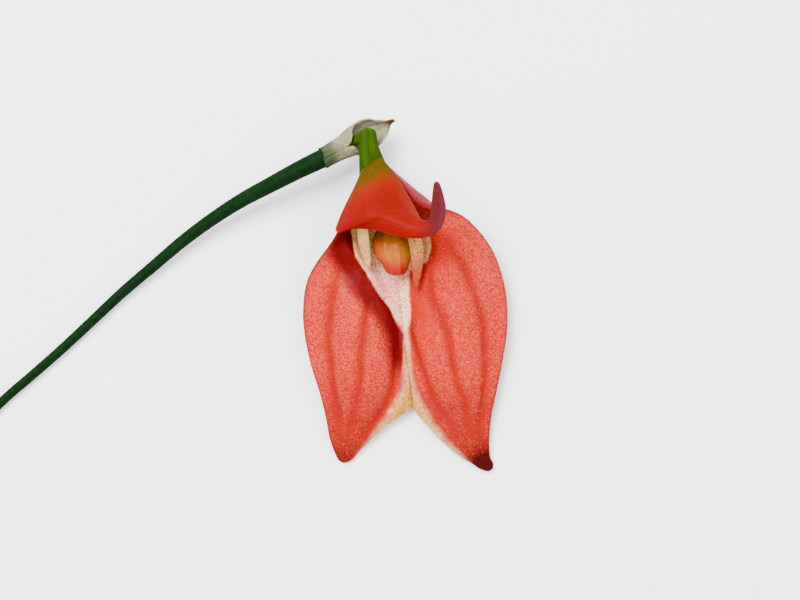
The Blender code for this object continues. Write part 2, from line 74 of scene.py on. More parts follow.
CELL_RANGE = (0.36, 0.66)
SPOT_RANGE = (0.16, 0.34)
SPOT_CHOICE = (0.55, 0.8)
SPOT_SCALE = 0.85
MOTTLE_SCALE = 0.14
RAGGED_STRENGTH = 8.0
BUMP_STRENGTH = 0.8
SKIN_IOR = 1.36
COAT_ROUGHNESS = 0.3
GLOW_RADIUS = (1.0, 0.3, 0.15)
GLOW_DEPTH = 0.5
DOT_COLOUR = (0.10, 0.012, 0.010)
# Pale coral dots on the sepal pads: partly the skin's pale cells, partly painted glints.
SPARKLE_COLOUR = (0.52, 0.12, 0.075)

SEPAL_THICKNESS = 0.7
SEPAL_ROWS_PER_STATION = 10
SEPAL_COLUMNS = 73
NOTCH_STATION = 11
EDGE_REACH = 0.4
VEIN_FADE = (4.5, 6.5, 10.5, 13.0)
VEIN_COLOUR_FADE = (11.5, 14.0)
VEIN_DEPTH = 0.5
VEIN_GROOVE = 0.75
VEIN_WIDTH = 0.7
HOLLOW_DEPTH = 0.6
RIPPLE_DEPTH = 0.07
LOWEST_SKIN = 0.02

RIGHT_LOBE = [
    [(-3.9, 18.2, 4.15), (-3.1, 18.4, 4.35), (-2.5, 18.75, 5.2), (-2.35, 19.0, 6.3), (-2.6, 19.0, 7.6)],
    [(-3.0, 15.5, 2.0), (-1.0, 15.5, 2.4), (0.7, 15.7, 3.9), (1.3, 15.9, 6.2), (0.3, 16.0, 8.3)],
    [(-2.0, 12.8, 1.1), (0.9, 12.9, 1.5), (3.2, 13.1, 3.6), (4.2, 13.5, 6.2), (2.4, 13.7, 8.6)],
    [(-1.3, 9.9, 0.6), (1.8, 10.2, 1.1), (4.0, 10.8, 3.7), (5.2, 11.9, 6.2), (5.3, 12.9, 7.8)],
    [(-0.7, 7.2, 0.6), (1.9, 7.6, 1.1), (4.1, 8.7, 4.4), (5.9, 10.6, 6.4), (7.6, 12.8, 6.5)],
    [(-0.15, 4.35, 0.9), (1.7, 4.8, 1.8), (3.9, 6.2, 4.9), (7.0, 8.7, 6.4), (10.4, 11.3, 5.0)],
    [(-0.2, 1.2, 1.4), (1.6, 1.8, 3.0), (4.4, 3.0, 5.8), (8.6, 5.2, 6.0), (13.6, 7.2, 4.1)],
    [(0.3, -2.2, 1.9), (2.1, -1.9, 3.9), (6.0, -1.0, 5.6), (10.6, 0.5, 5.4), (15.4, 1.9, 3.4)],
    [(0.65, -5.8, 2.3), (2.6, -5.6, 4.2), (6.4, -5.0, 5.3), (10.9, -4.3, 4.9), (15.8, -3.6, 3.0)],
    [(1.15, -9.7, 2.4), (3.3, -9.6, 4.0), (7.0, -9.4, 4.8), (11.0, -9.2, 4.4), (15.1, -9.0, 2.7)],
    [(1.6, -13.3, 2.2), (4.0, -13.5, 3.5), (7.4, -13.7, 4.1), (10.8, -13.9, 3.8), (14.1, -14.1, 2.3)],
    [(1.75, -15.7, 1.9), (4.4, -16.1, 2.8), (7.4, -16.4, 3.3), (10.5, -16.8, 3.1), (13.5, -17.1, 1.9)],
    [(4.6, -19.3, 1.5), (6.7, -19.6, 2.1), (8.9, -19.8, 2.5), (11.1, -20.0, 2.3), (13.2, -20.3, 1.5)],
    [(8.0, -22.5, 1.0), (9.3, -22.6, 1.5), (10.7, -22.7, 1.7), (12.0, -22.8, 1.5), (13.3, -22.8, 1.0)],
    [(10.4, -24.0, 0.9), (11.3, -24.2, 0.94), (12.15, -24.25, 0.95), (12.95, -24.15, 0.94),
     (13.7, -23.9, 0.9)],
    [(11.5, -24.75, 0.8), (12.15, -25.05, 0.8), (12.8, -25.2, 0.8), (13.3, -25.1, 0.8), (13.7, -24.75, 0.8)],
]
LEFT_LOBE = [
    [(-3.9, 18.2, 4.15), (-4.75, 17.7, 4.3), (-5.25, 17.4, 5.1), (-5.4, 17.3, 6.3), (-5.1, 17.3, 7.6)],
    [(-3.0, 15.5, 2.0), (-4.7, 15.5, 2.4), (-5.8, 15.5, 3.8), (-6.2, 15.5, 5.8), (-5.9, 15.5, 7.9)],
    [(-2.0, 12.8, 1.1), (-4.5, 12.8, 1.4), (-6.5, 12.8, 3.0), (-7.3, 12.8, 5.5), (-7.2, 12.8, 8.0)],
    [(-1.3, 9.9, 0.6), (-4.3, 9.9, 0.9), (-6.7, 9.9, 3.3), (-7.8, 10.0, 6.2), (-8.4, 10.1, 7.7)],
    [(-0.7, 7.2, 0.6), (-3.9, 7.1, 1.0), (-6.4, 7.1, 5.4), (-8.3, 7.4, 6.0), (-10.3, 7.8, 5.9)],
    [(-0.15, 4.35, 0.9), (-2.9, 4.3, 1.6), (-5.5, 4.4, 5.4), (-8.8, 4.9, 4.9), (-12.1, 5.4, 4.9)],
    [(-0.2, 1.2, 1.4), (-1.9, 1.2, 2.8), (-4.4, 1.5, 5.6), (-8.8, 2.0, 4.9), (-13.6, 2.7, 4.1)],
    [(0.3, -2.2, 1.9), (-1.2, -2.1, 4.0), (-4.6, -1.8, 5.5), (-9.4, -1.3, 4.9), (-14.2, -0.9, 3.5)],
    [(0.65, -5.8, 2.3), (-0.9, -5.8, 4.4), (-4.7, -5.6, 5.4), (-9.4, -5.1, 4.8), (-14.1, -4.6, 3.1)],
    [(1.15, -9.7, 2.4), (-0.7, -9.7, 4.2), (-4.5, -9.6, 5.1), (-8.9, -9.5, 4.5), (-13.2, -9.3, 2.8)],
    [(1.6, -13.3, 2.2), (-0.7, -13.3, 3.6), (-4.2, -13.4, 4.3), (-8.0, -13.4, 3.9), (-11.9, -13.5, 2.4)],
    [(1.75, -15.7, 1.9), (-0.9, -16.1, 2.9), (-4.0, -16.6, 3.5), (-7.5, -16.9, 3.2), (-11.0, -17.1, 2.0)],
    [(-1.7, -18.4, 1.5), (-3.9, -18.9, 2.2), (-6.1, -19.3, 2.6), (-8.4, -19.7, 2.4), (-10.5, -20.0, 1.6)],
    [(-4.8, -21.2, 1.1), (-6.1, -21.4, 1.6), (-7.4, -21.6, 1.8), (-8.6, -21.8, 1.7), (-9.9, -22.0, 1.1)],
    [(-6.3, -22.75, 0.9), (-7.1, -22.9, 0.94), (-7.9, -23.0, 0.95), (-8.7, -22.95, 0.94), (-9.5, -22.8, 0.9)],
    [(-6.9, -23.45, 0.8), (-7.5, -23.8, 0.8), (-8.1, -23.95, 0.8), (-8.6, -23.9, 0.8), (-9.05, -23.6, 0.8)],
]
VEIN_LINES = [
    [(1.0, -1.4), (1.3, -4.3), (1.7, -6.2), (2.5, -8.4), (3.5, -11.3), (4.5, -13.8), (5.5, -15.9),
     (7.0, -17.7), (8.4, -19.7)],
    [(3.8, 8.0), (4.1, 3.6), (4.5, 0.0), (5.8, -2.6), (7.0, -5.1), (7.7, -9.4), (8.4, -12.3),
     (9.3, -14.8), (9.9, -17.1), (10.7, -19.6)],
    [(5.9, 8.7), (7.2, 7.2), (9.0, 5.1), (10.4, 2.2), (11.4, -0.7), (12.2, -3.6), (12.5, -6.5),
     (12.5, -12.3), (12.3, -14.5), (11.9, -17.4), (11.6, -20.3)],
    [(-8.4, 5.7), (-9.4, 2.2), (-10.0, 0.0), (-10.3, -2.9), (-10.6, -6.5), (-10.1, -9.4),
     (-9.9, -12.3), (-9.6, -14.5), (-9.0, -17.4), (-8.6, -20.3)],
    [(-4.9, 2.2), (-4.5, 0.0), (-4.9, -2.9), (-5.5, -6.5), (-5.7, -9.4), (-5.8, -12.3),
     (-6.2, -14.5), (-6.8, -16.7), (-7.4, -19.6)],
    [(-0.7, -2.6), (-0.15, -5.8), (-0.4, -9.4), (-0.9, -12.8), (-2.0, -15.5), (-3.6, -17.8),
     (-5.1, -19.6)],
]
CREAM_LEFT = [(-6.8, -22.8), (-4.4, -19.6), (-2.2, -16.8), (0.1, -12.9), (0.62, -9.28), (0.62, -5.07),
              (-0.3, -2.61), (-2.75, 0.58), (-4.95, 4.2), (-6.3, 6.23), (-7.0, 9.86)]
CREAM_RIGHT = [(11.0, -24.0), (8.99, -22.17), (6.81, -19.86), (4.64, -16.67), (2.9, -13.77), (1.88, -10.87),
               (1.3, -7.25), (0.95, -4.35), (1.3, 0.0), (1.3, 3.6), (1.5, 4.2), (3.7, 5.5), (4.4, 7.7),
               (4.2, 9.5), (1.5, 11.8), (-2.0, 13.5)]
# How far the left lobe's dark hollow reaches beside the cream line, by height: dark red pigment with painted
# shade.
SHADE_AND_DARK_RED_WIDTHS = [(-13.0, 0.1), (-6.5, 1.7), (-2.0, 3.1), (3.0, 3.9), (8.0, 3.8), (12.0, 3.8)]

HOOD_BASE = [((-5.35, 18.7, 7.1), (-2.75, 20.5, 7.2), 0.5, 0.6)]
HOOD_SECTIONS = HOOD_BASE + [
    ((-5.9, 17.4, 8.2), (-2.3, 19.9, 8.3), 0.6, 0.7),
    ((-6.8, 15.5, 8.6), (-1.0, 18.4, 8.9), 1.5, 0.7),
    ((-7.9, 13.3, 8.8), (0.0, 16.8, 9.3), 2.4, 0.7),
    ((-8.8, 11.2, 8.9), (0.9, 15.3, 9.8), 3.0, 0.7),
    ((-9.05, 9.8, 9.2), (1.6, 14.1, 10.3), 3.1, 0.7),
    ((-6.6, 10.25, 10.4), (2.1, 13.1, 11.0), 2.3, 0.7),
    ((-3.2, 9.9, 11.8), (2.5, 12.2, 12.0), 1.4, 0.75),
    ((-0.2, 9.05, 12.8), (2.9, 11.5, 13.0), 0.8, 0.8),
    ((2.5, 8.7, 13.7), (3.5, 11.2, 13.8), 0.4, 0.9),
    ((4.7, 9.2, 14.4), (4.1, 11.4, 14.4), 0.2, 1.0),
    ((6.0, 10.5, 15.2), (4.35, 12.2, 15.1), 0.1, 1.1),
    ((6.45, 12.4, 16.1), (4.4, 13.4, 16.0), 0.0, 1.1),
    ((6.1, 14.5, 17.3), (4.5, 14.9, 17.2), 0.0, 1.0),
    ((5.5, 16.3, 18.5), (4.7, 16.5, 18.4), 0.0, 0.7),
]
LIP_SECTIONS = [
    ((-2.4, 11.5, 1.25), (-0.8, 11.5, 1.25), 0.05, 0.8),
    ((-3.2, 10.5, 2.7), (0.4, 10.5, 2.7), 0.5, 0.9),
    ((-4.05, 8.5, 4.2), (1.4, 8.4, 4.4), 1.0, 1.0),
    ((-3.75, 6.8, 4.4), (1.65, 6.6, 4.6), 1.0, 1.0),
    ((-2.6, 5.2, 4.5), (1.25, 5.1, 4.6), 0.8, 1.0),
    ((-2.15, 4.4, 4.35), (1.0, 4.35, 4.4), 0.6, 0.9),
    ((-1.85, 4.0, 4.1), (0.75, 3.95, 4.15), 0.4, 0.75),
    ((-1.4, 3.75, 3.9), (0.25, 3.75, 3.9), 0.2, 0.6),
]
PETAL_LEFT_SECTIONS = [
    ((-5.45, 16.2, 6.4), (-4.75, 16.2, 6.5), 0.0, 0.6),
    ((-5.8, 13.6, 6.1), (-4.75, 13.6, 6.3), 0.1, 0.6),
    ((-6.1, 11.4, 6.0), (-4.7, 11.3, 6.5), 0.2, 0.6),
    ((-6.1, 9.2, 5.9), (-4.5, 9.1, 6.4), 0.2, 0.6),
    ((-5.7, 7.2, 5.7), (-4.3, 7.1, 6.0), 0.2, 0.6),
    ((-5.1, 5.6, 5.5), (-4.2, 5.5, 5.6), 0.1, 0.6),
    ((-4.6, 4.7, 5.4), (-4.3, 4.7, 5.4), 0.0, 0.6),
]
PETAL_RIGHT_SECTIONS = [
    ((-1.9, 16.2, 6.7), (-1.2, 16.2, 6.6), 0.0, 0.6),
    ((-0.6, 13.6, 6.6), (0.6, 13.6, 6.4), 0.1, 0.6),
    ((0.5, 11.2, 6.6), (2.1, 11.2, 6.3), 0.2, 0.6),
    ((1.2, 8.6, 6.6), (3.1, 8.7, 6.4), 0.25, 0.6),
    ((1.6, 6.2, 6.3), (3.4, 6.4, 6.3), 0.25, 0.6),
    ((1.8, 4.0, 6.0), (3.2, 4.2, 6.1), 0.2, 0.6),
    ((2.0, 2.4, 5.8), (2.8, 2.5, 5.9), 0.1, 0.6),
    ((2.3, 1.6, 5.6), (2.6, 1.6, 5.6), 0.0, 0.6),
]
COLUMN_SECTIONS = [
    ((-4.7, 17.9, 6.2), (-2.7, 18.3, 6.2), 0.0, 1.8),
    ((-4.2, 16.0, 6.7), (-2.4, 16.2, 6.8), 0.2, 1.6),
    ((-3.9, 14.2, 7.2), (-1.9, 14.3, 7.3), 0.4, 1.5),
    ((-3.6, 12.6, 7.5), (-1.3, 12.6, 7.6), 0.5, 1.5),
    ((-3.3, 11.6, 7.5), (-1.3, 11.6, 7.6), 0.4, 1.3),
]
OVARY_ROUTE = [(-4.7, 24.8, 7.1), (-4.6, 23.3, 7.05), (-4.45, 21.6, 6.9), (-4.25, 20.2, 6.5),
               (-4.0, 18.6, 5.95)]
OVARY_RADII = [1.15, 1.25, 1.4, 1.6, 1.8]
OVARY_RIBS = 6
OVARY_RIB_HEIGHT = 0.035
OVARY_FINE_RIBS = 24
OVARY_FINE_HEIGHT = 0.012
OVARY_SLANT = 0.6
OVARY_DOME = 0.14
PEDICEL_ROUTE = [(-7.9, 22.2, 5.65), (-6.7, 22.9, 5.65), (-5.2, 23.7, 6.5)]
PEDICEL_RADIUS = 0.75
PEDICEL_SIDES = 32
SCAPE_ROUTE = [
    (-72.6, -32.0, 0.75), (-69.4, -27.2, 0.75), (-65.8, -22.7, 0.75), (-62.0, -18.5, 0.76),
    (-58.0, -14.5, 0.78), (-53.6, -10.7, 0.80), (-49.3, -6.9, 0.83), (-44.9, -2.8, 0.90),
    (-40.6, 1.2, 1.1), (-36.2, 4.9, 1.5), (-31.9, 8.5, 2.1), (-27.5, 11.7, 2.9), (-23.2, 14.4, 3.8),
    (-18.8, 16.7, 4.7), (-14.5, 18.9, 5.5), (-10.9, 20.6, 6.0), (-9.4, 21.4, 5.9),
]
SCAPE_RADII = [0.72, 0.71, 0.70, 0.70, 0.70, 0.71, 0.73, 0.76, 0.80, 0.85, 0.91, 0.98, 1.07, 1.18, 1.30, 1.38,
               1.15]
SCAPE_POINTS = 150
BRACT_RINGS = [
    ((-11.2, 20.45, 6.0), 1.36, -11.5, -12.5), ((-10.5, 20.82, 6.0), 1.28, -11.5, -12.5),
    ((-9.2, 21.55, 5.85), 1.35, -11.5, -12.5), ((-8.0, 22.2, 5.6), 1.5, -11, -13),
    ((-7.2, 22.7, 5.35), 1.75, 6, -35), ((-6.5, 23.05, 5.2), 1.95, 38, -95),
    ((-5.7, 23.4, 5.2), 2.1, 66, -110), ((-4.9, 23.8, 5.25), 2.15, 78, -112),
    ((-4.0, 24.2, 5.3), 2.0, 85, -108), ((-3.3, 24.45, 5.5), 1.6, 85, -100),
    ((-2.7, 24.7, 5.7), 1.2, 85, -110), ((-2.1, 24.9, 6.0), 0.9, 86, -145),
    ((-1.5, 25.15, 6.3), 0.65, 90, -190), ((-0.8, 25.4, 6.7), 0.55, 100, -210),
]
BRACT_OFFSET = 0.15
BRACT_THICKNESS = 0.28
CAP_PLACE = np.array([-2.3, 10.6, 7.8])
CAP_RADII = np.array([0.85, 0.7, 0.75])
KEEL_SHARES = (0.36, 0.64)
KEEL_HALF_WIDTH = 0.06
KEEL_HEIGHT = 0.25
LIP_GRAIN = 0.035
HOOD_RIBS = 0.018
HOOD_FURROW = 0.02

CAMERA_HEIGHT = 0.327
CAMERA_LENS = 100.0
SENSOR_WIDTH = 36.0
FLOOR_HALF = 1.0
FLOOR_LEVEL = -0.00002
FLOOR_SHADE = 0.92
LIGHT_TARGET = np.array([0.028, 0.003, 0.0])


def spline(values: Array, t: Array) -> Array:
    """Follows a smooth curve through given values.

    Args:
        values: one value or point per station.
        t: places to read it at, in stations from zero.

    Returns:
        The values at those places.
    """
    values = np.asarray(values, float)
    last = len(values) - 1
    t = np.clip(np.asarray(t, float), 0.0, last)
    start = np.minimum(t.astype(int), last - 1)
    x = (t - start).reshape(t.shape + (1,) * (values.ndim - 1))
    padded = np.concatenate([2 * values[:1] - values[1:2], values, 2 * values[-1:] - values[-2:-1]])
    before, near, far, after = (padded[start + k] for k in range(4))
    square = (2 * before - 5 * near + 4 * far - after) * x ** 2
    cube = (3 * near - before - 3 * far + after) * x ** 3
    return 0.5 * (2 * near + (far - before) * x + square + cube)


def faded(value: Array, low: float, high: float) -> Array:
    """Turns values smoothly into a share that is 0 at low and 1 at high."""
    share = np.clip((np.asarray(value, float) - low) / (high - low), 0.0, 1.0)
    return share * share * (3.0 - 2.0 * share)


def bell(value: Array, width: float) -> Array:
    """Turns values into a share that is 1 at zero and dies away over a width."""
    return np.exp(-(value / width) ** 2)


def rounded(distance: Array, reach: float) -> Array:
    """Rounds an edge off like a quarter circle as wide as its reach."""
    return np.sqrt(1.0 - (1.0 - np.clip(distance / reach, 0.0, 1.0)) ** 2)


def unit(vectors: Array) -> Array:
    """Scales vectors to length one, along the last axis."""
    return vectors / np.maximum(np.linalg.norm(vectors, axis=-1, keepdims=True), 1e-9)


def normals_of(grid: Array) -> Array:
    """Finds a unit normal at each point of a grid."""
    return unit(np.cross(np.gradient(grid, axis=0), np.gradient(grid, axis=1)))


def travelled(grid: Array, axis: int) -> Array:
    """Measures how far each point lies along its row or column.

    Args:
        grid: points in rows and columns.
        axis: 0 to go down the columns, 1 along the rows.

    Returns:
        Distances from the first point, in millimetres.
    """
    steps = np.linalg.norm(np.diff(grid, axis=axis), axis=-1)
    start = np.zeros_like(np.take(grid[..., 0], [0], axis=axis))
    return np.concatenate([start, np.cumsum(steps, axis=axis)], axis=axis)


def distance_to(points: Array, line: List[Tuple[float, float]]) -> Array:
    """Measures distances to a line seen from above.

    Args:
        points: the points.
        line: the line's corners.

    Returns:
        The distances.
    """
    best = np.full(points.shape[:-1], np.inf)
    for (ax, ay), (bx, by) in zip(line[:-1], line[1:]):
        dx = bx - ax
        dy = by - ay
        away_x = points[..., 0] - ax
        away_y = points[..., 1] - ay
        share = np.clip((away_x * dx + away_y * dy) / (dx * dx + dy * dy), 0.0, 1.0)
        best = np.minimum(best, np.hypot(away_x - share * dx, away_y - share * dy))
    return best


def blob(points: Array, x: float, y: float, radius: float) -> Array:
    """Makes a soft round mask about a middle point, seen from above."""
    away = (points[..., 0] - x) ** 2 + (points[..., 1] - y) ** 2
    return np.exp(-away / radius ** 2)


def vein_marks(points: Array, width: float) -> Array:
    """Marks the veins as seen from above, all of one width."""
    return np.max([bell(distance_to(points, route), width) for route in VEIN_LINES], axis=0)


def frames_along(route: Array) -> Tuple[Array, Array]:
    """Finds the sideways and upward directions along a route.

    Args:
        route: the route's points.

    Returns:
        The side and up vectors at each point.
    """
    tangent = unit(np.gradient(route, axis=0))
    side = unit(np.cross(np.array([0.0, 0.0, 1.0]), tangent))
    return side, unit(np.cross(tangent, side))


def rings_round(route: Array, turn: Array) -> Array:
    """Finds the outward unit vector at each point of a route and each turn, in radians."""
    side, up = frames_along(route)
    return np.cos(turn)[None, :, None] * side[:, None] + np.sin(turn)[None, :, None] * up[:, None]


def even_ends(count: int) -> Array:
    """Spaces shares from 0 to 1 so that they crowd at both ends."""
    return 0.5 - 0.5 * np.cos(np.linspace(0.0, math.pi, count))


def crowded(last: int, steps: int, extra: List[float]) -> Array:
    """Places rows evenly over the stations, with extra ones near the ends."""
    return np.unique(np.concatenate([np.linspace(0.0, last, last * steps + 1), extra]))


def placed(name: str, data: object) -> Object:
    """Adds an object at the origin.

    Args:
        name: its name.
        data: its mesh, light or camera.

    Returns:
        The object.
    """
    made = bpy.data.objects.new(name, data)
    bpy.context.collection.objects.link(made)
    return made


@dataclass
class Wiring:
    """Adds and joins nodes in one tree."""

    tree: Tree

    def feed(self, socket: Socket, value: object) -> None:
        """Links a socket, or sets its value.

        Args:
            socket: the input.
            value: another node's output, a number, a word or a colour.
        """
        if isinstance(value, Socket):
            self.tree.links.new(value, socket)
        elif isinstance(value, tuple) and socket.type == "RGBA":
            socket.default_value = (*value, 1.0)
        else:
            socket.default_value = value

    def fill(self, made: bpy.types.Node, feeds: Feeds) -> None:
        """Feeds several inputs of a node, by their names or numbers."""
        for label, value in feeds.items():
            self.feed(made.inputs[label], value)

    def node(self, kind: str, feeds: Optional[Feeds] = None, **settings: object) -> bpy.types.Node:
        """Adds a node.

        Args:
            kind: its type name.
            feeds: what goes into its inputs, by their names or numbers.
            settings: its properties.

        Returns:
            The node.
        """
        made = self.tree.nodes.new(kind)
        for label, value in settings.items():
            setattr(made, label, value)
        self.fill(made, feeds or {})
        return made

    def maths(self, operation: str, first: object, second: object, clamp: bool = False) -> Socket:
        """Does one step of arithmetic on two values, kept from 0 to 1 where clamp says so."""
        feeds = {0: first, 1: second}
        return self.node("ShaderNodeMath", feeds, operation=operation, use_clamp=clamp).outputs[0]

    def times(self, first: object, second: object) -> Socket:
        """Multiplies two values."""
        return self.maths("MULTIPLY", first, second)

    def mix(self, share: object, first: object, second: object) -> Socket:
        """Mixes two colours, by the second one's share."""
        return self.node("ShaderNodeMix", {0: share, 6: first, 7: second}, data_type="RGBA").outputs[2]

    def ramp(self, value: object, reach: Tuple[float, float]) -> Socket:
        """Turns a value smoothly into a share, from 0 to 1 over a reach."""
        feeds = {"Value": value, "From Min": reach[0], "From Max": reach[1]}
        return self.node("ShaderNodeMapRange", feeds, interpolation_type="SMOOTHSTEP").outputs["Result"]

    def noise(self, place: object, scale: object, detail: float) -> Socket:
        """Adds a noise texture and gives its value."""
        feeds = {"Vector": place, "Scale": scale, "Detail": detail}
        return self.node("ShaderNodeTexNoise", feeds).outputs["Fac"]

    def mask(self, name: str) -> Socket:
        """Reads a mask from the mesh."""
        return self.node("ShaderNodeAttribute", attribute_name=name).outputs["Fac"]


Started = Tuple[Wiring, bpy.types.NodeOutputs, bpy.types.Node]


def new_group(name: str, kind: str, inputs: Dict[str, str], outputs: Dict[str, str]) -> Started:
    """Starts a node group.

    Args:
        name: its name.
        kind: its tree type.
        inputs: the socket type of each input.
        outputs: the socket type of each output.

    Returns:
        Its wiring, what it is given and its output node.
    """
    tree = bpy.data.node_groups.new(name, kind)
    for way, sockets in (("INPUT", inputs), ("OUTPUT", outputs)):
        for label, socket in sockets.items():
            tree.interface.new_socket(name=label, in_out=way, socket_type="NodeSocket" + socket)
    wiring = Wiring(tree)
    return wiring, wiring.node("NodeGroupInput").outputs, wiring.node("NodeGroupOutput")


def make_cells() -> Tree:
    """Makes the shared group for the fine cell pattern of petal skin.

    Returns:
        The group. It puts out pale cells, sparse spots (partly painted glints, partly dark dots on the
        cream), a height and a slow mottle.
    """
    outputs = dict.fromkeys(("Pale", "Sparkle", "Height", "Mottle"), "Float")
    wiring, given, out = new_group("Petal cells", "ShaderNodeTree", {"Cells": "Float"}, outputs)
    place = wiring.node("ShaderNodeTexCoord").outputs["Object"]
    cells = given["Cells"]
    pale = wiring.noise(place, cells, 4.0)
    feeds = {"Vector": place, "Scale": wiring.times(cells, SPOT_SCALE)}
    spots = wiring.node("ShaderNodeTexVoronoi", feeds).outputs
    near = wiring.maths("SUBTRACT", 1.0, wiring.ramp(spots["Distance"], SPOT_RANGE))
    apart = wiring.node("ShaderNodeSeparateColor", {0: spots["Color"]}).outputs
    bumps = wiring.maths("SUBTRACT", 1.0, spots["Distance"])
    results = {
        "Pale": wiring.ramp(pale, CELL_RANGE),
        "Sparkle": wiring.times(near, wiring.ramp(apart[0], SPOT_CHOICE)),
        "Height": wiring.maths("ADD", bumps, wiring.times(pale, 0.6)),
        "Mottle": wiring.noise(place, wiring.times(cells, MOTTLE_SCALE), 2.0),
    }
    wiring.fill(out, results)
    return wiring.tree


def make_fibres() -> Tree:
    """Makes the shared group for fibres that run along a blade.

    Returns:
        The group. It puts out one value between 0 and 1.
    """
    inputs = dict.fromkeys(("Across", "Along"), "Float")
    wiring, given, out = new_group("Petal fibres", "ShaderNodeTree", inputs, {"Fibre": "Float"})
    place = wiring.node("ShaderNodeUVMap", uv_map="uv").outputs["UV"]
    apart = wiring.node("ShaderNodeSeparateXYZ", {0: place}).outputs
    feeds = {0: wiring.times(apart[0], given["Across"]), 1: wiring.times(apart[1], given["Along"])}
    joined = wiring.node("ShaderNodeCombineXYZ", feeds).outputs[0]
    wiring.fill(out, {"Fibre": wiring.ramp(wiring.noise(joined, 1.0, 2.0), CELL_RANGE)})
    return wiring.tree


@dataclass(frozen=True)
class Layer:
    """One colour laid over a finish where a mask says.

    Attributes:
        mask: the mesh attribute that says where.
        colour: the colour.
        speck: the colour of the specks in it.
        amount: how strong the specks are.
        ragged: how uneven the mask's edge is.
    """

    mask: str
    colour: Colour
    speck: Optional[Colour] = None
    amount: float = 0.0
    ragged: float = 0.0


@dataclass(frozen=True)
class TissueFinish:
    """A living or dried plant skin.

    Attributes:
        name: the material's name.
        colour: its main colour.
        speck: the colour of the specks in it.
        amount: how strong the specks are.
        layers: further colours, in order.
        cells: cells per metre.
        sparkle: how strong the pale dots are, partly the skin's pale cells and partly painted glints.
        dots: how strong the dark dots on the cream are.
        fibre: how strong the fibres are.
        fibre_colour: the fibres' colour.
        across: fibres across the blade.
        along: fibres along the blade.
        mottle: how strong the slow mottle is.
        roughness: the surface's roughness.
        coat: the waxy coat's weight.
        shine: how much the skin reflects.
        subsurface: how much light goes through.
        bump: the cells' depth, in millimetres.
    """

    name: str
    colour: Colour
    speck: Colour
    amount: float = 0.3
    layers: Tuple[Layer, ...] = ()
    cells: float = 2800.0
    sparkle: float = 0.0
    dots: float = 0.0
    fibre: float = 0.0
    fibre_colour: Colour = (0.1, 0.02, 0.01)
    across: float = 30.0
    along: float = 3.0
    mottle: float = 0.15
    roughness: float = 0.42
    coat: float = 0.02
    shine: float = 0.1
    subsurface: float = 0.2
    bump: float = 0.05

    def make(self, cells: Tree, fibres: Tree) -> Material:
        """Makes the material.

        Args:
            cells: the shared cell group.
            fibres: the shared fibre group.

        Returns:
            The material.
        """
        material = bpy.data.materials.new(self.name)
        material.use_nodes = True
        material.node_tree.nodes.clear()
        wiring = Wiring(material.node_tree)
        cell = wiring.node("ShaderNodeGroup", {"Cells": self.cells}, node_tree=cells).outputs
        pale = cell["Pale"]
        mottle = cell["Mottle"]
        colour = wiring.mix(wiring.times(pale, self.amount), self.colour, self.speck)
        for layer in self.layers:
            colour = self._lay(wiring, colour, layer, pale, mottle)
        if self.dots > 0.0:
            share = wiring.times(cell["Sparkle"], wiring.mask("cream"))
            colour = wiring.mix(wiring.times(share, self.dots), colour, DOT_COLOUR)
        if self.fibre > 0.0:
            feeds = {"Across": self.across, "Along": self.along}
            strand = wiring.node("ShaderNodeGroup", feeds, node_tree=fibres).outputs["Fibre"]
            colour = wiring.mix(wiring.times(strand, self.fibre), colour, self.fibre_colour)
        # Pale dots, partly painted glints.
        if self.sparkle > 0.0:
            share = wiring.times(cell["Sparkle"], wiring.mask("sparkle"))
            colour = wiring.mix(wiring.times(share, self.sparkle), colour, SPARKLE_COLOUR)
        level = wiring.times(wiring.maths("SUBTRACT", mottle, 0.5), 2.0 * self.mottle)
        feeds = {"Color": colour, "Value": wiring.maths("ADD", level, 1.0)}
        shade = wiring.node("ShaderNodeHueSaturation", feeds)
        feeds = {"Strength": BUMP_STRENGTH, "Distance": self.bump * MM, "Height": cell["Height"]}
        bump = wiring.node("ShaderNodeBump", feeds)
        feeds = {
            "Base Color": shade.outputs["Color"],
            "Normal": bump.outputs["Normal"],
            "Roughness": self.roughness,
            "IOR": SKIN_IOR,
            "Coat Weight": self.coat,
            "Coat Roughness": COAT_ROUGHNESS,
            "Specular IOR Level": self.shine,
            "Subsurface Weight": self.subsurface,
            "Subsurface Radius": GLOW_RADIUS,
            "Subsurface Scale": GLOW_DEPTH * MM,
        }
        shader = wiring.node("ShaderNodeBsdfPrincipled", feeds)
        wiring.node("ShaderNodeOutputMaterial", {"Surface": shader.outputs["BSDF"]})
        return material

    @staticmethod
    def _lay(wiring: Wiring, under: Socket, layer: Layer, pale: Socket, mottle: Socket) -> Socket:
        """Lays one colour over the others.

        Args:
            wiring: the material's wiring.
            under: the colour so far.
            layer: what to lay.
            pale: the specks' mask.
            mottle: the noise that makes an edge uneven.

        Returns:
            The new colour.
        """
        mask = wiring.mask(layer.mask)
        if layer.ragged > 0.0:
            both = wiring.times(mask, wiring.maths("SUBTRACT", 1.0, mask))
            strength = RAGGED_STRENGTH * layer.ragged
            uneven = wiring.times(wiring.maths("SUBTRACT", mottle, 0.5), strength)
            mask = wiring.maths("ADD", mask, wiring.times(both, uneven), clamp=True)
        over: object = layer.colour
        if layer.speck is not None:
            over = wiring.mix(wiring.times(pale, layer.amount), layer.colour, layer.speck)
        return wiring.mix(mask, under, over)


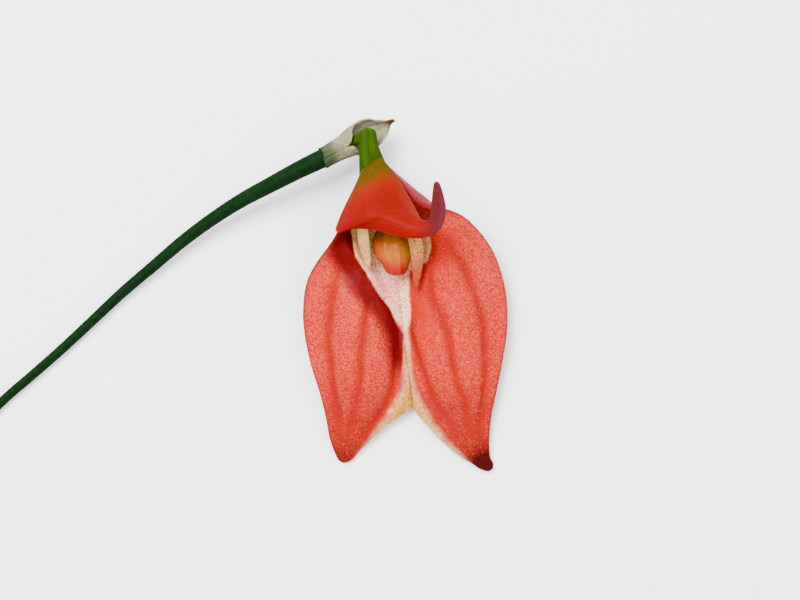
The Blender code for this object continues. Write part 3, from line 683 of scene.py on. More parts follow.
@dataclass
class Shell:
    """Gathers grids of points into one plain mesh.

    Attributes:
        name: the object's name.
    """

    name: str
    points: List[Array] = field(default_factory=list)
    quads: List[Array] = field(default_factory=list)
    uvs: List[Array] = field(default_factory=list)
    masks: List[Masks] = field(default_factory=list)
    count: int = 0

    def add(self, grid: Array, masks: Optional[Masks] = None) -> None:
        """Adds a grid.

        Args:
            grid: points in rows and columns, in flower millimetres.
            masks: values at the points, by attribute name.
        """
        rows, columns = grid.shape[:2]
        index = np.arange(rows * columns).reshape(rows, columns) + self.count
        corners = [index[:-1, :-1], index[:-1, 1:], index[1:, 1:], index[1:, :-1]]
        across, along = np.meshgrid(np.linspace(0.0, 1.0, columns), np.linspace(0.0, 1.0, rows))
        self.points.append(grid.reshape(-1, 3))
        self.quads.append(np.stack(corners, axis=-1).reshape(-1, 4))
        self.uvs.append(np.stack([across, along], axis=-1).reshape(-1, 2))
        given = (masks or {}).items()
        self.masks.append({name: np.broadcast_to(value, (rows, columns)).ravel() for name, value in given})
        self.count += rows * columns

    def build(self, material: Material, sharp: float) -> Object:
        """Makes the object.

        Args:
            material: its finish.
            sharp: edges sharper than this many degrees stay sharp.

        Returns:
            The object, at the origin.
        """
        mesh = bpy.data.meshes.new(self.name)
        places = (np.concatenate(self.points) + FLOWER_PLACE) * MM
        mesh.from_pydata(places.tolist(), [], np.concatenate(self.quads).tolist())
        corners = np.empty(len(mesh.loops), dtype=np.int32)
        mesh.loops.foreach_get("vertex_index", corners)
        layer = mesh.uv_layers.new(name="uv")
        layer.data.foreach_set("uv", np.concatenate(self.uvs)[corners].astype(np.float32).ravel())
        for name in sorted({key for given in self.masks for key in given}):
            pairs = zip(self.masks, self.points)
            values = [given.get(name, np.zeros(len(points))) for given, points in pairs]
            attribute = mesh.attributes.new(name, "FLOAT", "POINT")
            attribute.data.foreach_set("value", np.concatenate(values).astype(np.float32))
        work = bmesh.new()
        work.from_mesh(mesh)
        bmesh.ops.remove_doubles(work, verts=work.verts, dist=WELD_DISTANCE)
        bmesh.ops.recalc_face_normals(work, faces=work.faces)
        loose = sum(1 for edge in work.edges if len(edge.link_faces) != 2)
        work.to_mesh(mesh)
        work.free()
        mesh.materials.append(material)
        mesh.shade_smooth()
        mesh.set_sharp_from_angle(angle=math.radians(sharp))
        LOG.info("%s: %d faces, %d open edges", self.name, len(mesh.polygons), loose)
        return placed(self.name, mesh)


class Part(Enum):
    """The frame's nodes that scene pieces stand for."""

    SCAPE = "scape"
    BRACT = "bract"
    OVARY = "ovary"
    HOOD = "dorsal_sepal"
    SYNSEPAL = "synsepal"
    PETAL_LEFT = "petal_left"
    PETAL_RIGHT = "petal_right"
    LIP = "lip"
    COLUMN = "column"
    CAP = "anther_cap"


def adopt(made: Object, part: Optional[Part]) -> Object:
    """Ties an object to the frame.

    Args:
        made: the object.
        part: the node it stands for, if it does.

    Returns:
        The object.
    """
    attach(made, "root")
    if part is not None:
        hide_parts(part.value)
    return made


class Piece:
    """A piece of the flower that is one closed skin.

    Attributes:
        part: the node it stands for.
        slot: its material slot's name.
        sharp: edges sharper than this many degrees stay sharp.
    """

    part: ClassVar[Part]
    slot: ClassVar[str]
    sharp: ClassVar[float] = SHARP_EDGE

    def shape(self) -> Shell:
        """Works out the skin, in each piece's own way."""
        raise NotImplementedError

    def build(self, material: Material) -> Object:
        """Makes the object in its finish and ties it to the frame."""
        return adopt(self.shape().build(material, self.sharp), self.part)


@dataclass
class Synsepal(Piece):
    """The two lower sepals, grown together into a tube and a broad double lobe.

    Attributes:
        finish: its skin.
        thickness: how thick it is, in millimetres.
    """

    finish: TissueFinish
    thickness: float = SEPAL_THICKNESS
    part: ClassVar[Part] = Part.SYNSEPAL
    slot: ClassVar[str] = "sepal_coral"

    def stations(self) -> Array:
        """Places the rows, which crowd at both ends.

        Returns:
            Their station numbers.
        """
        last = len(RIGHT_LOBE) - 1
        extra = [0.01, 0.03, 0.06, last - 0.24, last - 0.14, last - 0.06, last - 0.02]
        return crowded(last, SEPAL_ROWS_PER_STATION, extra)

    def masks(self, points: Array, station: Array, margin: Array, seam: Array, left: bool) -> Masks:
        """Works out where each colour goes.

        Args:
            points: the lobe's points.
            station: their station numbers.
            margin: their distances from the outer margin.
            seam: their distances from the seam.
            left: whether this is the left lobe.

        Returns:
            The masks.
        """
        x = points[..., 0]
        y = points[..., 1]
        line = np.array(CREAM_LEFT if left else CREAM_RIGHT)
        edge = np.interp(y, line[:, 1], line[:, 0])
        away = edge - x if left else x - edge
        low = faded(-y, 6.0, 14.0)
        cream = faded((-away - 0.75 * low) / (0.22 + 0.75 * low), -1.0, 1.0)
        strength = faded(station, *VEIN_FADE[:2]) * (1.0 - faded(station, *VEIN_COLOUR_FADE))
        veins = vein_marks(points, VEIN_WIDTH) * strength * (1.0 - cream)
        # Dark red pigment with painted shade in the left lobe's hollow beside the cream line; on the right
        # lobe, a weaker painted shadow of the right petal.
        if left:
            widths = np.array(SHADE_AND_DARK_RED_WIDTHS)
            width = np.interp(y, widths[:, 0], widths[:, 1])
            deep = faded(away, 0.0, 0.25) * (1.0 - faded(away - 0.7 * width, 0.0, 2.6))
            deep = deep * faded(y, -13.0, -8.0)
            tip = 0.7 * blob(points, -8.5, -24.4, 3.0)
        else:
            deep = 0.3 * faded(away, 0.0, 0.3) * (1.0 - faded(away, 0.5, 1.3))
            deep = deep * faded(y, 1.0, 3.0) * (1.0 - faded(y, 7.0, 9.0))
            tip = np.clip(1.6 * blob(points, 12.9, -24.6, 3.1), 0.0, 1.0)
        suture = bell(seam, 0.2) * faded(station, 9.2, 9.8) * (1.0 - faded(station, 11.0, 11.4))
        # Brown band beside the left rim: painted shadow between the rim and the left petal, partly brown
        # pigment.
        band = 0.75 * bell(away + 1.0, 0.38) * faded(y, 3.6, 5.6) * left
        cream = cream * (1.0 - 0.4 * faded(-y, 16.0, 21.0))
        # Painted light: a deeper, less speckled red where the right lobe's inner slope faces the light.
        flush = faded(away, 0.0, 0.4) * (1.0 - faded(away, 2.4, 5.4)) * faded(y, -10.0, -1.0) * (not left)
        plain = (1.0 - cream) * (1.0 - 0.75 * veins) * (1.0 - deep) * (1.0 - tip)
        return {
            "cream": cream,
            "band": band,
            "flush": flush * (1.0 - faded(y, 9.0, 12.0)),
            "vein": veins,
            "low": 0.75 * faded(-y, 9.0, 19.0),
            "deep": deep,
            "tip": tip,
            "edge": bell(margin, 0.35) * (1.0 - faded(station, 14.0, 15.0)),
            "pink": cream * blob(points, -1.5, 2.0, 2.2),
            "gold": cream * (1.0 - faded(y, -9.5, -3.0)),
            # Tan tint inside the throat, partly painted shade under the hood.
            "throat": cream * faded(y, 5.0, 8.0),
            "suture": 0.7 * suture,
            # Where the beads grow and the pale dots go, partly painted glints, stronger towards the right
            # margin.
            "sparkle": plain * (0.6 + 0.4 * faded(x, 6.0, 13.0)),
            "back": np.zeros_like(x),
        }

    def lobe(self, profiles: List, left: bool, seam_line: Array) -> Tuple[Array, Array, Array, Masks]:
        """Shapes one lobe.

        Args:
            profiles: the lobe's stations.
            left: whether this is the left lobe.
            seam_line: the shared seam, one point per row.

        Returns:
            Its middle surface, normals, thicknesses and masks.
        """
        rows = self.stations()
        shares = even_ends(SEPAL_COLUMNS)
        grid = np.stack([spline(one, shares * 4.0) for one in spline(np.array(profiles), rows)])
        joined = rows <= NOTCH_STATION
        shift = np.where(joined[:, None], seam_line - grid[:, 0], 0.0)
        grid = grid + shift[:, None, :] * (1.0 - faded(shares, 0.0, 0.2))[None, :, None]
        normal = normals_of(grid) * (-1.0 if left else 1.0)
        station = np.repeat(rows[:, None], SEPAL_COLUMNS, axis=1)
        along = travelled(grid, 1)
        margin = along[:, -1:] - along
        down = travelled(grid, 0)
        past = np.abs(down - down[np.searchsorted(rows, NOTCH_STATION)][None, :])
        seam = np.where(joined[:, None], np.hypot(along, past), along)
        free = np.minimum(np.minimum(margin, seam), np.minimum(down, down[-1:] - down))
        thick = self.thickness * rounded(free, EDGE_REACH)
        masks = self.masks(grid, station, margin, along, left)
        fade = faded(station, *VEIN_FADE[:2]) * (1.0 - faded(station, *VEIN_FADE[2:]))
        keep = faded(along, 0.0, 1.2) * faded(margin, 0.2, 1.4)
        sunk = self.thickness / 2 + VEIN_DEPTH * vein_marks(grid, VEIN_GROOVE) * fade * keep
        grid = grid - normal * sunk[..., None]
        if left:
            grid[..., 2] -= HOLLOW_DEPTH * masks["deep"] * keep
        ripple = RIPPLE_DEPTH * np.sin(along * 2.1 + 0.3 * down) * np.sin(down * 0.9 + along * 0.4)
        grid = grid + normal * (ripple * fade * keep)[..., None]
        return grid, normal, thick, masks

    def shape(self) -> Shell:
        """Joins the two lobes along their seam.

        Returns:
            The skin.
        """
        rows = self.stations()
        seams = [spline(np.array(lobe), rows)[:, 0] for lobe in (RIGHT_LOBE, LEFT_LOBE)]
        seam_line = (seams[0] + seams[1]) / 2
        right = self.lobe(RIGHT_LOBE, False, seam_line)
        left = self.lobe(LEFT_LOBE, True, seam_line)
        joined = rows <= NOTCH_STATION
        shared_normal = unit(right[1][:, 0] + left[1][:, 0])
        shared_place = (right[0][:, 0] + left[0][:, 0]) / 2
        shell = Shell("fused_lower_sepals")
        for grid, normal, thick, masks in (right, left):
            grid[joined, 0] = shared_place[joined]
            normal[joined, 0] = shared_normal[joined]
            thick[joined, 0] = ((right[2][:, 0] + left[2][:, 0]) / 2)[joined]
            half = normal * thick[..., None] / 2
            under = grid - half
            under[..., 2] = np.maximum(under[..., 2], LOWEST_SKIN)
            shell.add(grid + half, masks)
            shell.add(under, {**masks, "back": np.ones_like(thick), "sparkle": np.zeros_like(thick)})
        return shell


@dataclass(frozen=True)
class Spots:
    """Places on a blade.

    Attributes:
        points: where they are, in millimetres.
        station: their station numbers.
        share: their shares across the blade.
    """

    points: Array
    station: Array
    share: Array


@dataclass
class Blade(Piece):
    """A closed blade given by sections along it.

    Attributes:
        name: the object's name.
        part: the node it stands for.
        slot: a material slot's name; not used.
        sections: left point, right point, bow and thickness at each station.
        finish: its skin.
    """

    name: str
    part: Part
    slot: str
    sections: List
    finish: TissueFinish
    sharp: ClassVar[float] = BLADE_SHARP_EDGE
    roundness: ClassVar[float] = 2.5
    rows_per_section: ClassVar[int] = 9
    columns: ClassVar[int] = 33
    tip_reach: ClassVar[float] = 0.5

    def masks(self, at: Spots) -> Masks:
        """Works out where each colour goes."""
        return {}

    def relief(self, at: Spots) -> Array:
        """Works out how far the front stands out, in millimetres."""
        return np.zeros_like(at.share)

    def power(self, station: Array) -> Array:
        """Says how square the edges are, as the thickness curve's exponent."""
        return np.full_like(station, self.roundness)

    def shape(self) -> Shell:
        """Draws the blade through its sections.

        Returns:
            The skin.
        """
        last = len(self.sections) - 1
        extra = [0.01, 0.04, 0.08, last - 0.08, last - 0.04, last - 0.01]
        rows = crowded(last, self.rows_per_section, extra)
        shares = even_ends(self.columns)
        columns = zip(*self.sections)
        left, right, bow, thickness = (spline(np.array(column), rows) for column in columns)
        centre = (left + right) / 2
        path = travelled(centre[:, None, :], 0)[:, 0]
        narrow = np.maximum(rounded(path[-1] - path, self.tip_reach), 0.08)[:, None]
        left = centre + (left - centre) * narrow
        right = centre + (right - centre) * narrow
        grid = left[:, None] + (right - left)[:, None] * shares[None, :, None]
        grid[..., 2] += bow[:, None] * np.sin(math.pi * shares)[None, :]
        station, share = np.meshgrid(rows, shares, indexing="ij")
        power = self.power(station)
        lens = np.maximum(1.0 - np.abs(2.0 * share - 1.0) ** power, 0.0) ** (1.0 / power)
        ends = np.minimum(path, path[-1] - path)
        thick = thickness[:, None] * lens * rounded(ends, 0.3)[:, None]
        normal = normals_of(grid)
        spots = Spots(grid, station, share)
        masks = self.masks(spots)
        rise = self.relief(spots) * (lens * rounded(ends, 0.6)[:, None])
        half = normal * thick[..., None] / 2
        shell = Shell(self.name)
        shell.add(grid + half + normal * rise[..., None], {**masks, "back": np.zeros_like(share)})
        shell.add(grid - half, {**masks, "back": np.ones_like(share)})
        return shell


class Hood(Blade):
    """The upper sepal, arched over the mouth and drawn out into an upturned tail."""

    rows_per_section: ClassVar[int] = 12
    columns: ClassVar[int] = 49

    def power(self, station: Array) -> Array:
        """Says how square the edges are, as the thickness curve's exponent."""
        return 4.0 - 1.8 * faded(station, 8.0, 10.5)

    def masks(self, at: Spots) -> Masks:
        """Works out where each colour goes.

        Args:
            at: places on the blade.

        Returns:
            The masks.
        """
        r = at.station - 1.0
        low = 1.0 - faded(r, 8.0, 9.0)
        rim = faded(at.share, 0.8, 1.0) * (1.0 - faded(r, 5.0, 8.0))
        return {
            "green": 1.0 - faded(r, 0.35, 1.8),
            "orange": np.clip(1.0 - faded(r, 0.9, 2.8) + 0.8 * rim, 0.0, 1.0),
            "tail": faded(r, 7.5, 10.0),
            # Painted reflection of cool light on the tail's right side.
            "purple": (1.0 - faded(at.share, 0.1, 0.5)) * faded(r, 8.0, 10.0),
            # Painted highlight: a thin pale line along the hood's left edge.
            "pinkline": (1.0 - faded(at.share, 0.0, 0.05)) * faded(r, 3.0, 4.2) * low,
        }

    def relief(self, at: Spots) -> Array:
        """Works out how far the front stands out, in millimetres.

        Args:
            at: places on the blade.

        Returns:
            The heights.
        """
        wave = np.cos(at.share * FULL_TURN * 6.0) + 0.5 * np.cos(at.share * FULL_TURN * 11.0 + at.station)
        furrow = HOOD_FURROW * bell(at.share - 0.5, 0.03)
        return (HOOD_RIBS * wave - furrow) * (1.0 - faded(at.station, 7.0, 9.5))


class Lip(Blade):
    """The small fleshy tongue with two keels."""

    roundness: ClassVar[float] = 2.2
    columns: ClassVar[int] = 49

    def masks(self, at: Spots) -> Masks:
        """Works out where each colour goes."""
        red = faded(6.6 - at.points[..., 1], 0.0, 2.2) + 0.5 * (1.0 - faded(at.share, 0.05, 0.35))
        return {"red": np.clip(red, 0.0, 1.0), "yellow": blob(at.points, 0.6, 7.0, 1.0)}

    def relief(self, at: Spots) -> Array:
        """Works out how far the front stands out, in millimetres.

        Args:
            at: places on the blade.

        Returns:
            The heights.
        """
        keels = sum(bell(at.share - place, KEEL_HALF_WIDTH) for place in KEEL_SHARES)
        keels = keels * faded(at.station, 0.5, 2.0) * (1.0 - faded(at.station, 5.5, 7.0))
        grain = np.cos(at.share * FULL_TURN * 13.0) * np.cos(at.station * 5.0 + at.share * 9.0)
        return KEEL_HEIGHT * keels + LIP_GRAIN * grain


class LeftPetal(Blade):
    """The pale petal at the left of the mouth."""

    columns: ClassVar[int] = 25

    def masks(self, at: Spots) -> Masks:
        """Works out where each colour goes."""
        return {"tan": 1.0 - faded(at.points[..., 1], 7.6, 9.4), "sparkle": np.ones_like(at.share)}


class RightPetal(Blade):
    """The speckled petal at the right of the mouth."""

    columns: ClassVar[int] = 25

    def masks(self, at: Spots) -> Masks:
        """Works out where each colour goes."""
        return {"brown": 1.0 - faded(at.points[..., 1], 3.6, 8.2), "sparkle": np.ones_like(at.share)}


class Column(Blade):
    """The flower's middle column, mostly under the hood."""

    roundness: ClassVar[float] = 2.0
    columns: ClassVar[int] = 25


@dataclass
class Ovary(Piece):
    """The ribbed green seed pod behind the flower, with its short stalk."""

    finish: TissueFinish
    sides: int = 96
    rows: int = 90
    part: ClassVar[Part] = Part.OVARY
    slot: ClassVar[str] = "ovary_green"

    def shape(self) -> Shell:
        """Sweeps a ribbed ring along the pod's route and closes its far end.

        Returns:
            The skin.
        """
        share = np.linspace(0.0, 1.0, self.rows) ** 1.4
        route = spline(np.array(OVARY_ROUTE), share * 4.0)
        radius = spline(np.array(OVARY_RADII), share * 4.0) * rounded(share, OVARY_DOME)
        turn = np.linspace(0.0, FULL_TURN, self.sides + 1)
        ribs = OVARY_RIB_HEIGHT * np.cos(OVARY_RIBS * turn)
        swell = 1.0 + ribs + OVARY_FINE_HEIGHT * np.cos(OVARY_FINE_RIBS * turn)
        offset = rings_round(route, turn) * radius[:, None, None] * swell[None, :, None]
        grid = route[:, None] + offset
        grid[..., 1] += OVARY_SLANT * (share[:, None] ** 2) * offset[..., 0]
        end = np.repeat(grid[-1].mean(axis=0)[None, None], self.sides + 1, axis=1)
        shell = Shell("ovary_body")
        # Painted shade in the grooves between the ribs.
        groove = np.repeat((0.5 - 0.5 * np.cos(OVARY_RIBS * turn))[None, :], self.rows + 1, axis=0)
        warm = np.repeat(faded(np.append(share, 1.0), 0.82, 1.0)[:, None], self.sides + 1, axis=1)
        shell.add(np.concatenate([grid, end]), {"groove": groove, "warm": warm})
        path = spline(np.array(PEDICEL_ROUTE), np.linspace(0.0, 2.0, 16))
        ring = rings_round(path, np.linspace(0.0, FULL_TURN, PEDICEL_SIDES + 1))
        first, last = (np.repeat(path[k][None, None], PEDICEL_SIDES + 1, axis=1) for k in (0, -1))
        shell.add(np.concatenate([first, path[:, None] + PEDICEL_RADIUS * ring, last]))
        return shell


@dataclass
class Bract(Piece):
    """The dry papery sheath round the foot of the ovary."""

    finish: TissueFinish
    rows_per_ring: int = 8
    columns: int = 81
    part: ClassVar[Part] = Part.BRACT
    slot: ClassVar[str] = "bract_paper"

    def shape(self) -> Shell:
        """Wraps a wrinkled sheet round its rings, open along one side.

        Returns:
            The skin.
        """
        last = len(BRACT_RINGS) - 1
        rows = crowded(last, self.rows_per_ring, [0.02, 0.06, last - 0.08, last - 0.03])
        centre, radius, top, foot = (spline(np.array(column, float), rows) for column in zip(*BRACT_RINGS))
        radius = radius + BRACT_OFFSET
        top = np.radians(top)
        foot = np.radians(foot + 360.0)
        side, up = frames_along(centre)
        share = even_ends(self.columns)
        angle = top[:, None] + (foot - top)[:, None] * share[None, :]
        radial = np.sin(angle)[..., None] * side[:, None] + np.cos(angle)[..., None] * up[:, None]
        station = rows[:, None]
        wrinkle = 0.05 * np.sin(9.0 * angle + 0.7 * station) * faded(station, 0.5, 3.0)
        wrinkle = wrinkle + 0.035 * np.sin(21.0 * angle + 1.9 * station)
        grid = centre[:, None] + (radius[:, None] - np.abs(wrinkle))[..., None] * radial
        torn = 0.32 * np.sin(angle + 0.9) + 0.13 * np.sin(3.0 * angle) + 0.05 * np.sin(8.0 * angle)
        tangent = unit(np.gradient(centre, axis=0))
        grid = grid + tangent[:, None] * (torn * (1.0 - faded(station, 0.0, 1.3)))[..., None]
        along = travelled(grid, 1)
        down = travelled(centre[:, None, :], 0)
        free = np.minimum(np.minimum(along, along[:, -1:] - along), np.minimum(down, down[-1:] - down))
        half = BRACT_THICKNESS / 2 * rounded(free, 0.25)
        masks = {
            "tip": np.repeat(faded(rows, last - 3.0, last - 0.8)[:, None], self.columns, axis=1),
            # Painted shade where the dark stalk shows through the sheath's thin first end.
            "worn": np.repeat((1.0 - faded(rows, 0.3, 3.0))[:, None], self.columns, axis=1),
        }
        shell = Shell("papery_sheath")
        shell.add(grid + radial * half[..., None], {**masks, "back": np.zeros_like(angle)})
        shell.add(grid - radial * half[..., None], {**masks, "back": np.ones_like(angle)})
        return shell


@dataclass
class AntherCap(Piece):
    """The pale cap at the end of the column."""

    finish: TissueFinish
    part: ClassVar[Part] = Part.CAP
    slot: ClassVar[str] = "cap_white"

    def shape(self) -> Shell:
        """Rounds the cap and presses a furrow into it.

        Returns:
            The skin.
        """
        turns = np.linspace(0.0, FULL_TURN, 49)
        tilt, turn = np.meshgrid(np.linspace(0.0, math.pi, 25), turns, indexing="ij")
        ring = np.stack([np.sin(tilt) * np.cos(turn), np.sin(tilt) * np.sin(turn), np.cos(tilt)], axis=-1)
        furrow = 1.0 - 0.12 * bell(ring[..., 0], 0.14) * faded(ring[..., 2], -0.2, 0.5)
        shell = Shell("cap_skin")
        shell.add(CAP_PLACE + ring * CAP_RADII * furrow[..., None])
        return shell


def new_geometry(name: str, inputs: Dict[str, str]) -> Started:
    """Starts a geometry tree, which takes a geometry, its own inputs and a finish."""
    inputs = {"Geometry": "Geometry", **inputs, "Finish": "Material"}
    return new_group(name, "GeometryNodeTree", inputs, {"Geometry": "Geometry"})


def end_geometry(wiring: Wiring, made: Socket, finish: Socket, out: bpy.types.Node) -> Tree:
    """Ends a geometry tree with real faces in their finish.

    Args:
        wiring: the tree's wiring.
        made: what the tree has made.
        finish: the material.
        out: the output node.

    Returns:
        The tree.
    """
    real = wiring.node("GeometryNodeRealizeInstances", {"Geometry": made}).outputs["Geometry"]
    paint = wiring.node("GeometryNodeSetMaterial", {"Geometry": real, "Material": finish})
    wiring.fill(out, {"Geometry": paint.outputs["Geometry"]})
    return wiring.tree


def applied(holder: Object, tree: Tree, values: Dict[str, object]) -> Object:
    """Runs a geometry tree on an object and keeps the result as a plain mesh.

    Args:
        holder: the object.
        tree: the tree.
        values: the tree's inputs by name.

    Returns:
        The same object with its new mesh.
    """
    modifier = holder.modifiers.new(tree.name, "NODES")
    modifier.node_group = tree
    for item in tree.interface.items_tree:
        if item.in_out == "INPUT" and item.name in values:
            modifier[item.identifier] = values[item.name]
    bpy.context.view_layer.update()
    graph = bpy.context.evaluated_depsgraph_get()
    mesh = bpy.data.meshes.new_from_object(holder.evaluated_get(graph), depsgraph=graph)
    holder.modifiers.clear()
    holder.data = mesh
    LOG.info("%s: %d faces", holder.name, len(mesh.polygons))
    return holder


@dataclass
class Scape:
    """The long thin stalk, swept along its route."""

    finish: TissueFinish
    sides: int = 32

    def tree(self) -> Tree:
        """Makes the tree that sweeps a circle along the route.

        Returns:
            The tree.
        """
        wiring, given, out = new_geometry("Stalk sweep", {"Sides": "Int"})
        path = wiring.node("GeometryNodeMeshToCurve", {"Mesh": given["Geometry"]}).outputs["Curve"]
        where = wiring.node("GeometryNodeInputNamedAttribute", {"Name": "girth"}, data_type="FLOAT")
        girth = where.outputs["Attribute"]
        thick = wiring.node("GeometryNodeSetCurveRadius", {"Curve": path, "Radius": girth})
        feeds = {"Radius": 1.0, "Resolution": given["Sides"]}
        circle = wiring.node("GeometryNodeCurvePrimitiveCircle", feeds).outputs["Curve"]
        feeds = {"Curve": thick.outputs["Curve"], "Profile Curve": circle, "Fill Caps": True}
        sweep = wiring.node("GeometryNodeCurveToMesh", feeds)
        if "Scale" in sweep.inputs:
            wiring.fill(sweep, {"Scale": girth})
        return end_geometry(wiring, sweep.outputs["Mesh"], given["Finish"], out)

    def build(self, material: Material) -> Object:
        """Makes the piece.

        Args:
            material: its finish.

        Returns:
            The object.
        """
        t = np.linspace(0.0, len(SCAPE_ROUTE) - 1, SCAPE_POINTS)
        route = (spline(np.array(SCAPE_ROUTE), t) + FLOWER_PLACE) * MM
        radius = spline(np.array(SCAPE_RADII), t) * MM
        mesh = bpy.data.meshes.new("Stalk route")
        edges = [(k, k + 1) for k in range(SCAPE_POINTS - 1)]
        mesh.from_pydata(route.tolist(), edges, [])
        girth = mesh.attributes.new("girth", "FLOAT", "POINT")
        girth.data.foreach_set("value", radius.astype(np.float32))
        holder = placed("stalk_sweep", mesh)
        applied(holder, self.tree(), {"Sides": self.sides, "Finish": material})
        holder.data.shade_smooth()
        holder.data.set_sharp_from_angle(angle=math.radians(SHARP_EDGE))
        return adopt(holder, Part.SCAPE)


@dataclass
class Papillae:
    """Fine wet-looking beads scattered over a skin.

    Attributes:
        name: the object's name.
        mask: the attribute that says where they grow.
        density: how many to a square metre.
        radius: the beads' radius, in metres.
        seed: the scatter's seed.
        slot: a material slot's name; not used.
    """

    name: str
    mask: str
    density: float
    radius: float
    seed: int
    slot: str

    @staticmethod
    def tree() -> Tree:
        """Makes the tree that scatters beads over a surface.

        Returns:
            The tree.
        """
        inputs = {"Mask": "String", "Density": "Float", "Radius": "Float", "Seed": "Int"}
        wiring, given, out = new_geometry("Bead scatter", inputs)
        where = wiring.node("GeometryNodeInputNamedAttribute", {"Name": given["Mask"]}, data_type="FLOAT")
        dense = wiring.times(where.outputs["Attribute"], given["Density"])
        feeds = {"Mesh": given["Geometry"], "Density": dense, "Seed": given["Seed"]}
        scatter = wiring.node("GeometryNodeDistributePointsOnFaces", feeds).outputs["Points"]
        ball = wiring.node("GeometryNodeMeshIcoSphere", {"Radius": given["Radius"], "Subdivisions": 2})
        smooth = wiring.node("GeometryNodeSetShadeSmooth", {"Geometry": ball.outputs["Mesh"]})
        place = wiring.node("GeometryNodeInputPosition").outputs["Position"]
        chance = wiring.node("ShaderNodeTexWhiteNoise", {"Vector": place}).outputs["Value"]
        size = wiring.maths("ADD", wiring.times(chance, BEAD_SIZES[1]), BEAD_SIZES[0])
        feeds = {"Points": scatter, "Instance": smooth.outputs["Geometry"], "Scale": size}
        spread = wiring.node("GeometryNodeInstanceOnPoints", feeds)
        return end_geometry(wiring, spread.outputs["Instances"], given["Finish"], out)

    def build(self, skin: Object, material: Material) -> None:
        """Makes the beads.

        Args:
            skin: the object they grow on.
            material: their finish.
        """
        holder = placed(self.name, skin.data.copy())
        values = {
            "Mask": self.mask,
            "Density": self.density,
            "Radius": self.radius,
            "Seed": self.seed,
            "Finish": material,
        }
        applied(holder, self.tree(), values)
        adopt(holder, None)


@dataclass
class Studio:
    """The pale floor, the soft light and the camera."""

    world_level: float = 2.0
    key_power: float = 8.5
    fill_power: float = 1.5

    def build(self) -> None:
        """Makes the floor, lights, world and camera."""
        self._floor()
        world = bpy.data.worlds.new("Soft room")
        world.use_nodes = True
        sky = world.node_tree.nodes["Background"]
        sky.inputs["Color"].default_value = (1.0, 1.0, 1.0, 1.0)
        sky.inputs["Strength"].default_value = self.world_level
        bpy.context.scene.world = world
        self._light("Key light", (-0.14, 0.2, 0.46), self.key_power, 0.26)
        self._light("Fill light", (0.38, 0.1, 0.4), self.fill_power, 0.35)
        lens = bpy.data.cameras.new("Camera")
        lens.lens = CAMERA_LENS
        lens.sensor_width = SENSOR_WIDTH
        lens.clip_start = 0.01
        camera = placed("Camera", lens)
        camera.location = (FLOWER_PLACE[0] * MM, FLOWER_PLACE[1] * MM, CAMERA_HEIGHT)
        bpy.context.scene.camera = camera

    @staticmethod
    def _floor() -> None:
        """Lays the pale floor just under the flower."""
        ways = ((-1, -1), (1, -1), (1, 1), (-1, 1))
        mesh = bpy.data.meshes.new("Floor")
        corners_at = [(x * FLOOR_HALF, y * FLOOR_HALF, FLOOR_LEVEL) for x, y in ways]
        mesh.from_pydata(corners_at, [], [(0, 1, 2, 3)])
        material = bpy.data.materials.new("Pale floor")
        material.use_nodes = True
        shader = material.node_tree.nodes["Principled BSDF"]
        shader.inputs["Base Color"].default_value = (FLOOR_SHADE, FLOOR_SHADE, FLOOR_SHADE, 1.0)
        shader.inputs["Roughness"].default_value = 0.9
        shader.inputs["Specular IOR Level"].default_value = 0.1
        mesh.materials.append(material)
        placed("Floor", mesh)

    @staticmethod
    def _light(name: str, place: Tuple[float, float, float], power: float, size: float) -> None:
        """Adds a square soft light that faces the flower.

        Args:
            name: its name.
            place: where it hangs, in metres.
            power: its power, in watts.
            size: its side, in metres.
        """
        lamp = bpy.data.lights.new(name, "AREA")
        lamp.energy = power
        lamp.size = size
        made = placed(name, lamp)
        made.location = place
        x, y, z = LIGHT_TARGET - np.array(place)
        made.rotation_euler = (math.atan2(math.hypot(x, y), -z), 0.0, math.atan2(y, x) - math.pi / 2)


SEPAL_SKIN = TissueFinish(
    "Coral sepal skin", (0.30, 0.004, 0.002), (0.50, 0.060, 0.036), 0.66,
    layers=(
        Layer("low", (0.18, 0.003, 0.001), (0.28, 0.020, 0.008), 0.6),
        # Painted light on the right lobe's lit inner slope.
        Layer("flush", (0.33, 0.004, 0.002), (0.38, 0.018, 0.005), 0.5),
        Layer("vein", (0.24, 0.002, 0.001), (0.28, 0.007, 0.002), 0.5),
        Layer("edge", (0.15, 0.002, 0.006)),
        # Dark red pigment with painted shade in the hollows, and the right petal's painted shadow.
        Layer("deep", (0.083, 0.0005, 0.001), (0.12, 0.0005, 0.001), 0.4, 0.4),
        Layer("cream", (0.95, 0.62, 0.38), (0.34, 0.085, 0.055), 0.75, 0.6),
        Layer("pink", (0.80, 0.33, 0.29), (0.36, 0.06, 0.06), 0.7),
        Layer("gold", (0.50, 0.27, 0.040), (0.24, 0.035, 0.006), 0.7),
        # Tan tint inside the throat, partly painted shade under the hood.
        Layer("throat", (0.72, 0.46, 0.15), (0.34, 0.12, 0.03), 0.7),
        # Painted shadow between the left rim and the left petal, partly brown pigment.
        Layer("band", (0.26, 0.035, 0.006), (0.40, 0.12, 0.03), 0.5),
        Layer("suture", (0.13, 0.014, 0.003)),
        Layer("back", (0.105, 0.003, 0.007), (0.20, 0.022, 0.023), 0.5),
        Layer("tip", (0.032, 0.001, 0.001), None, 0.0, 0.3),
    ),
    cells=3600.0, sparkle=0.45, dots=0.8, fibre=0.12, fibre_colour=(0.15, 0.003, 0.003),
    across=22.0, along=9.0, shine=0.05,
)
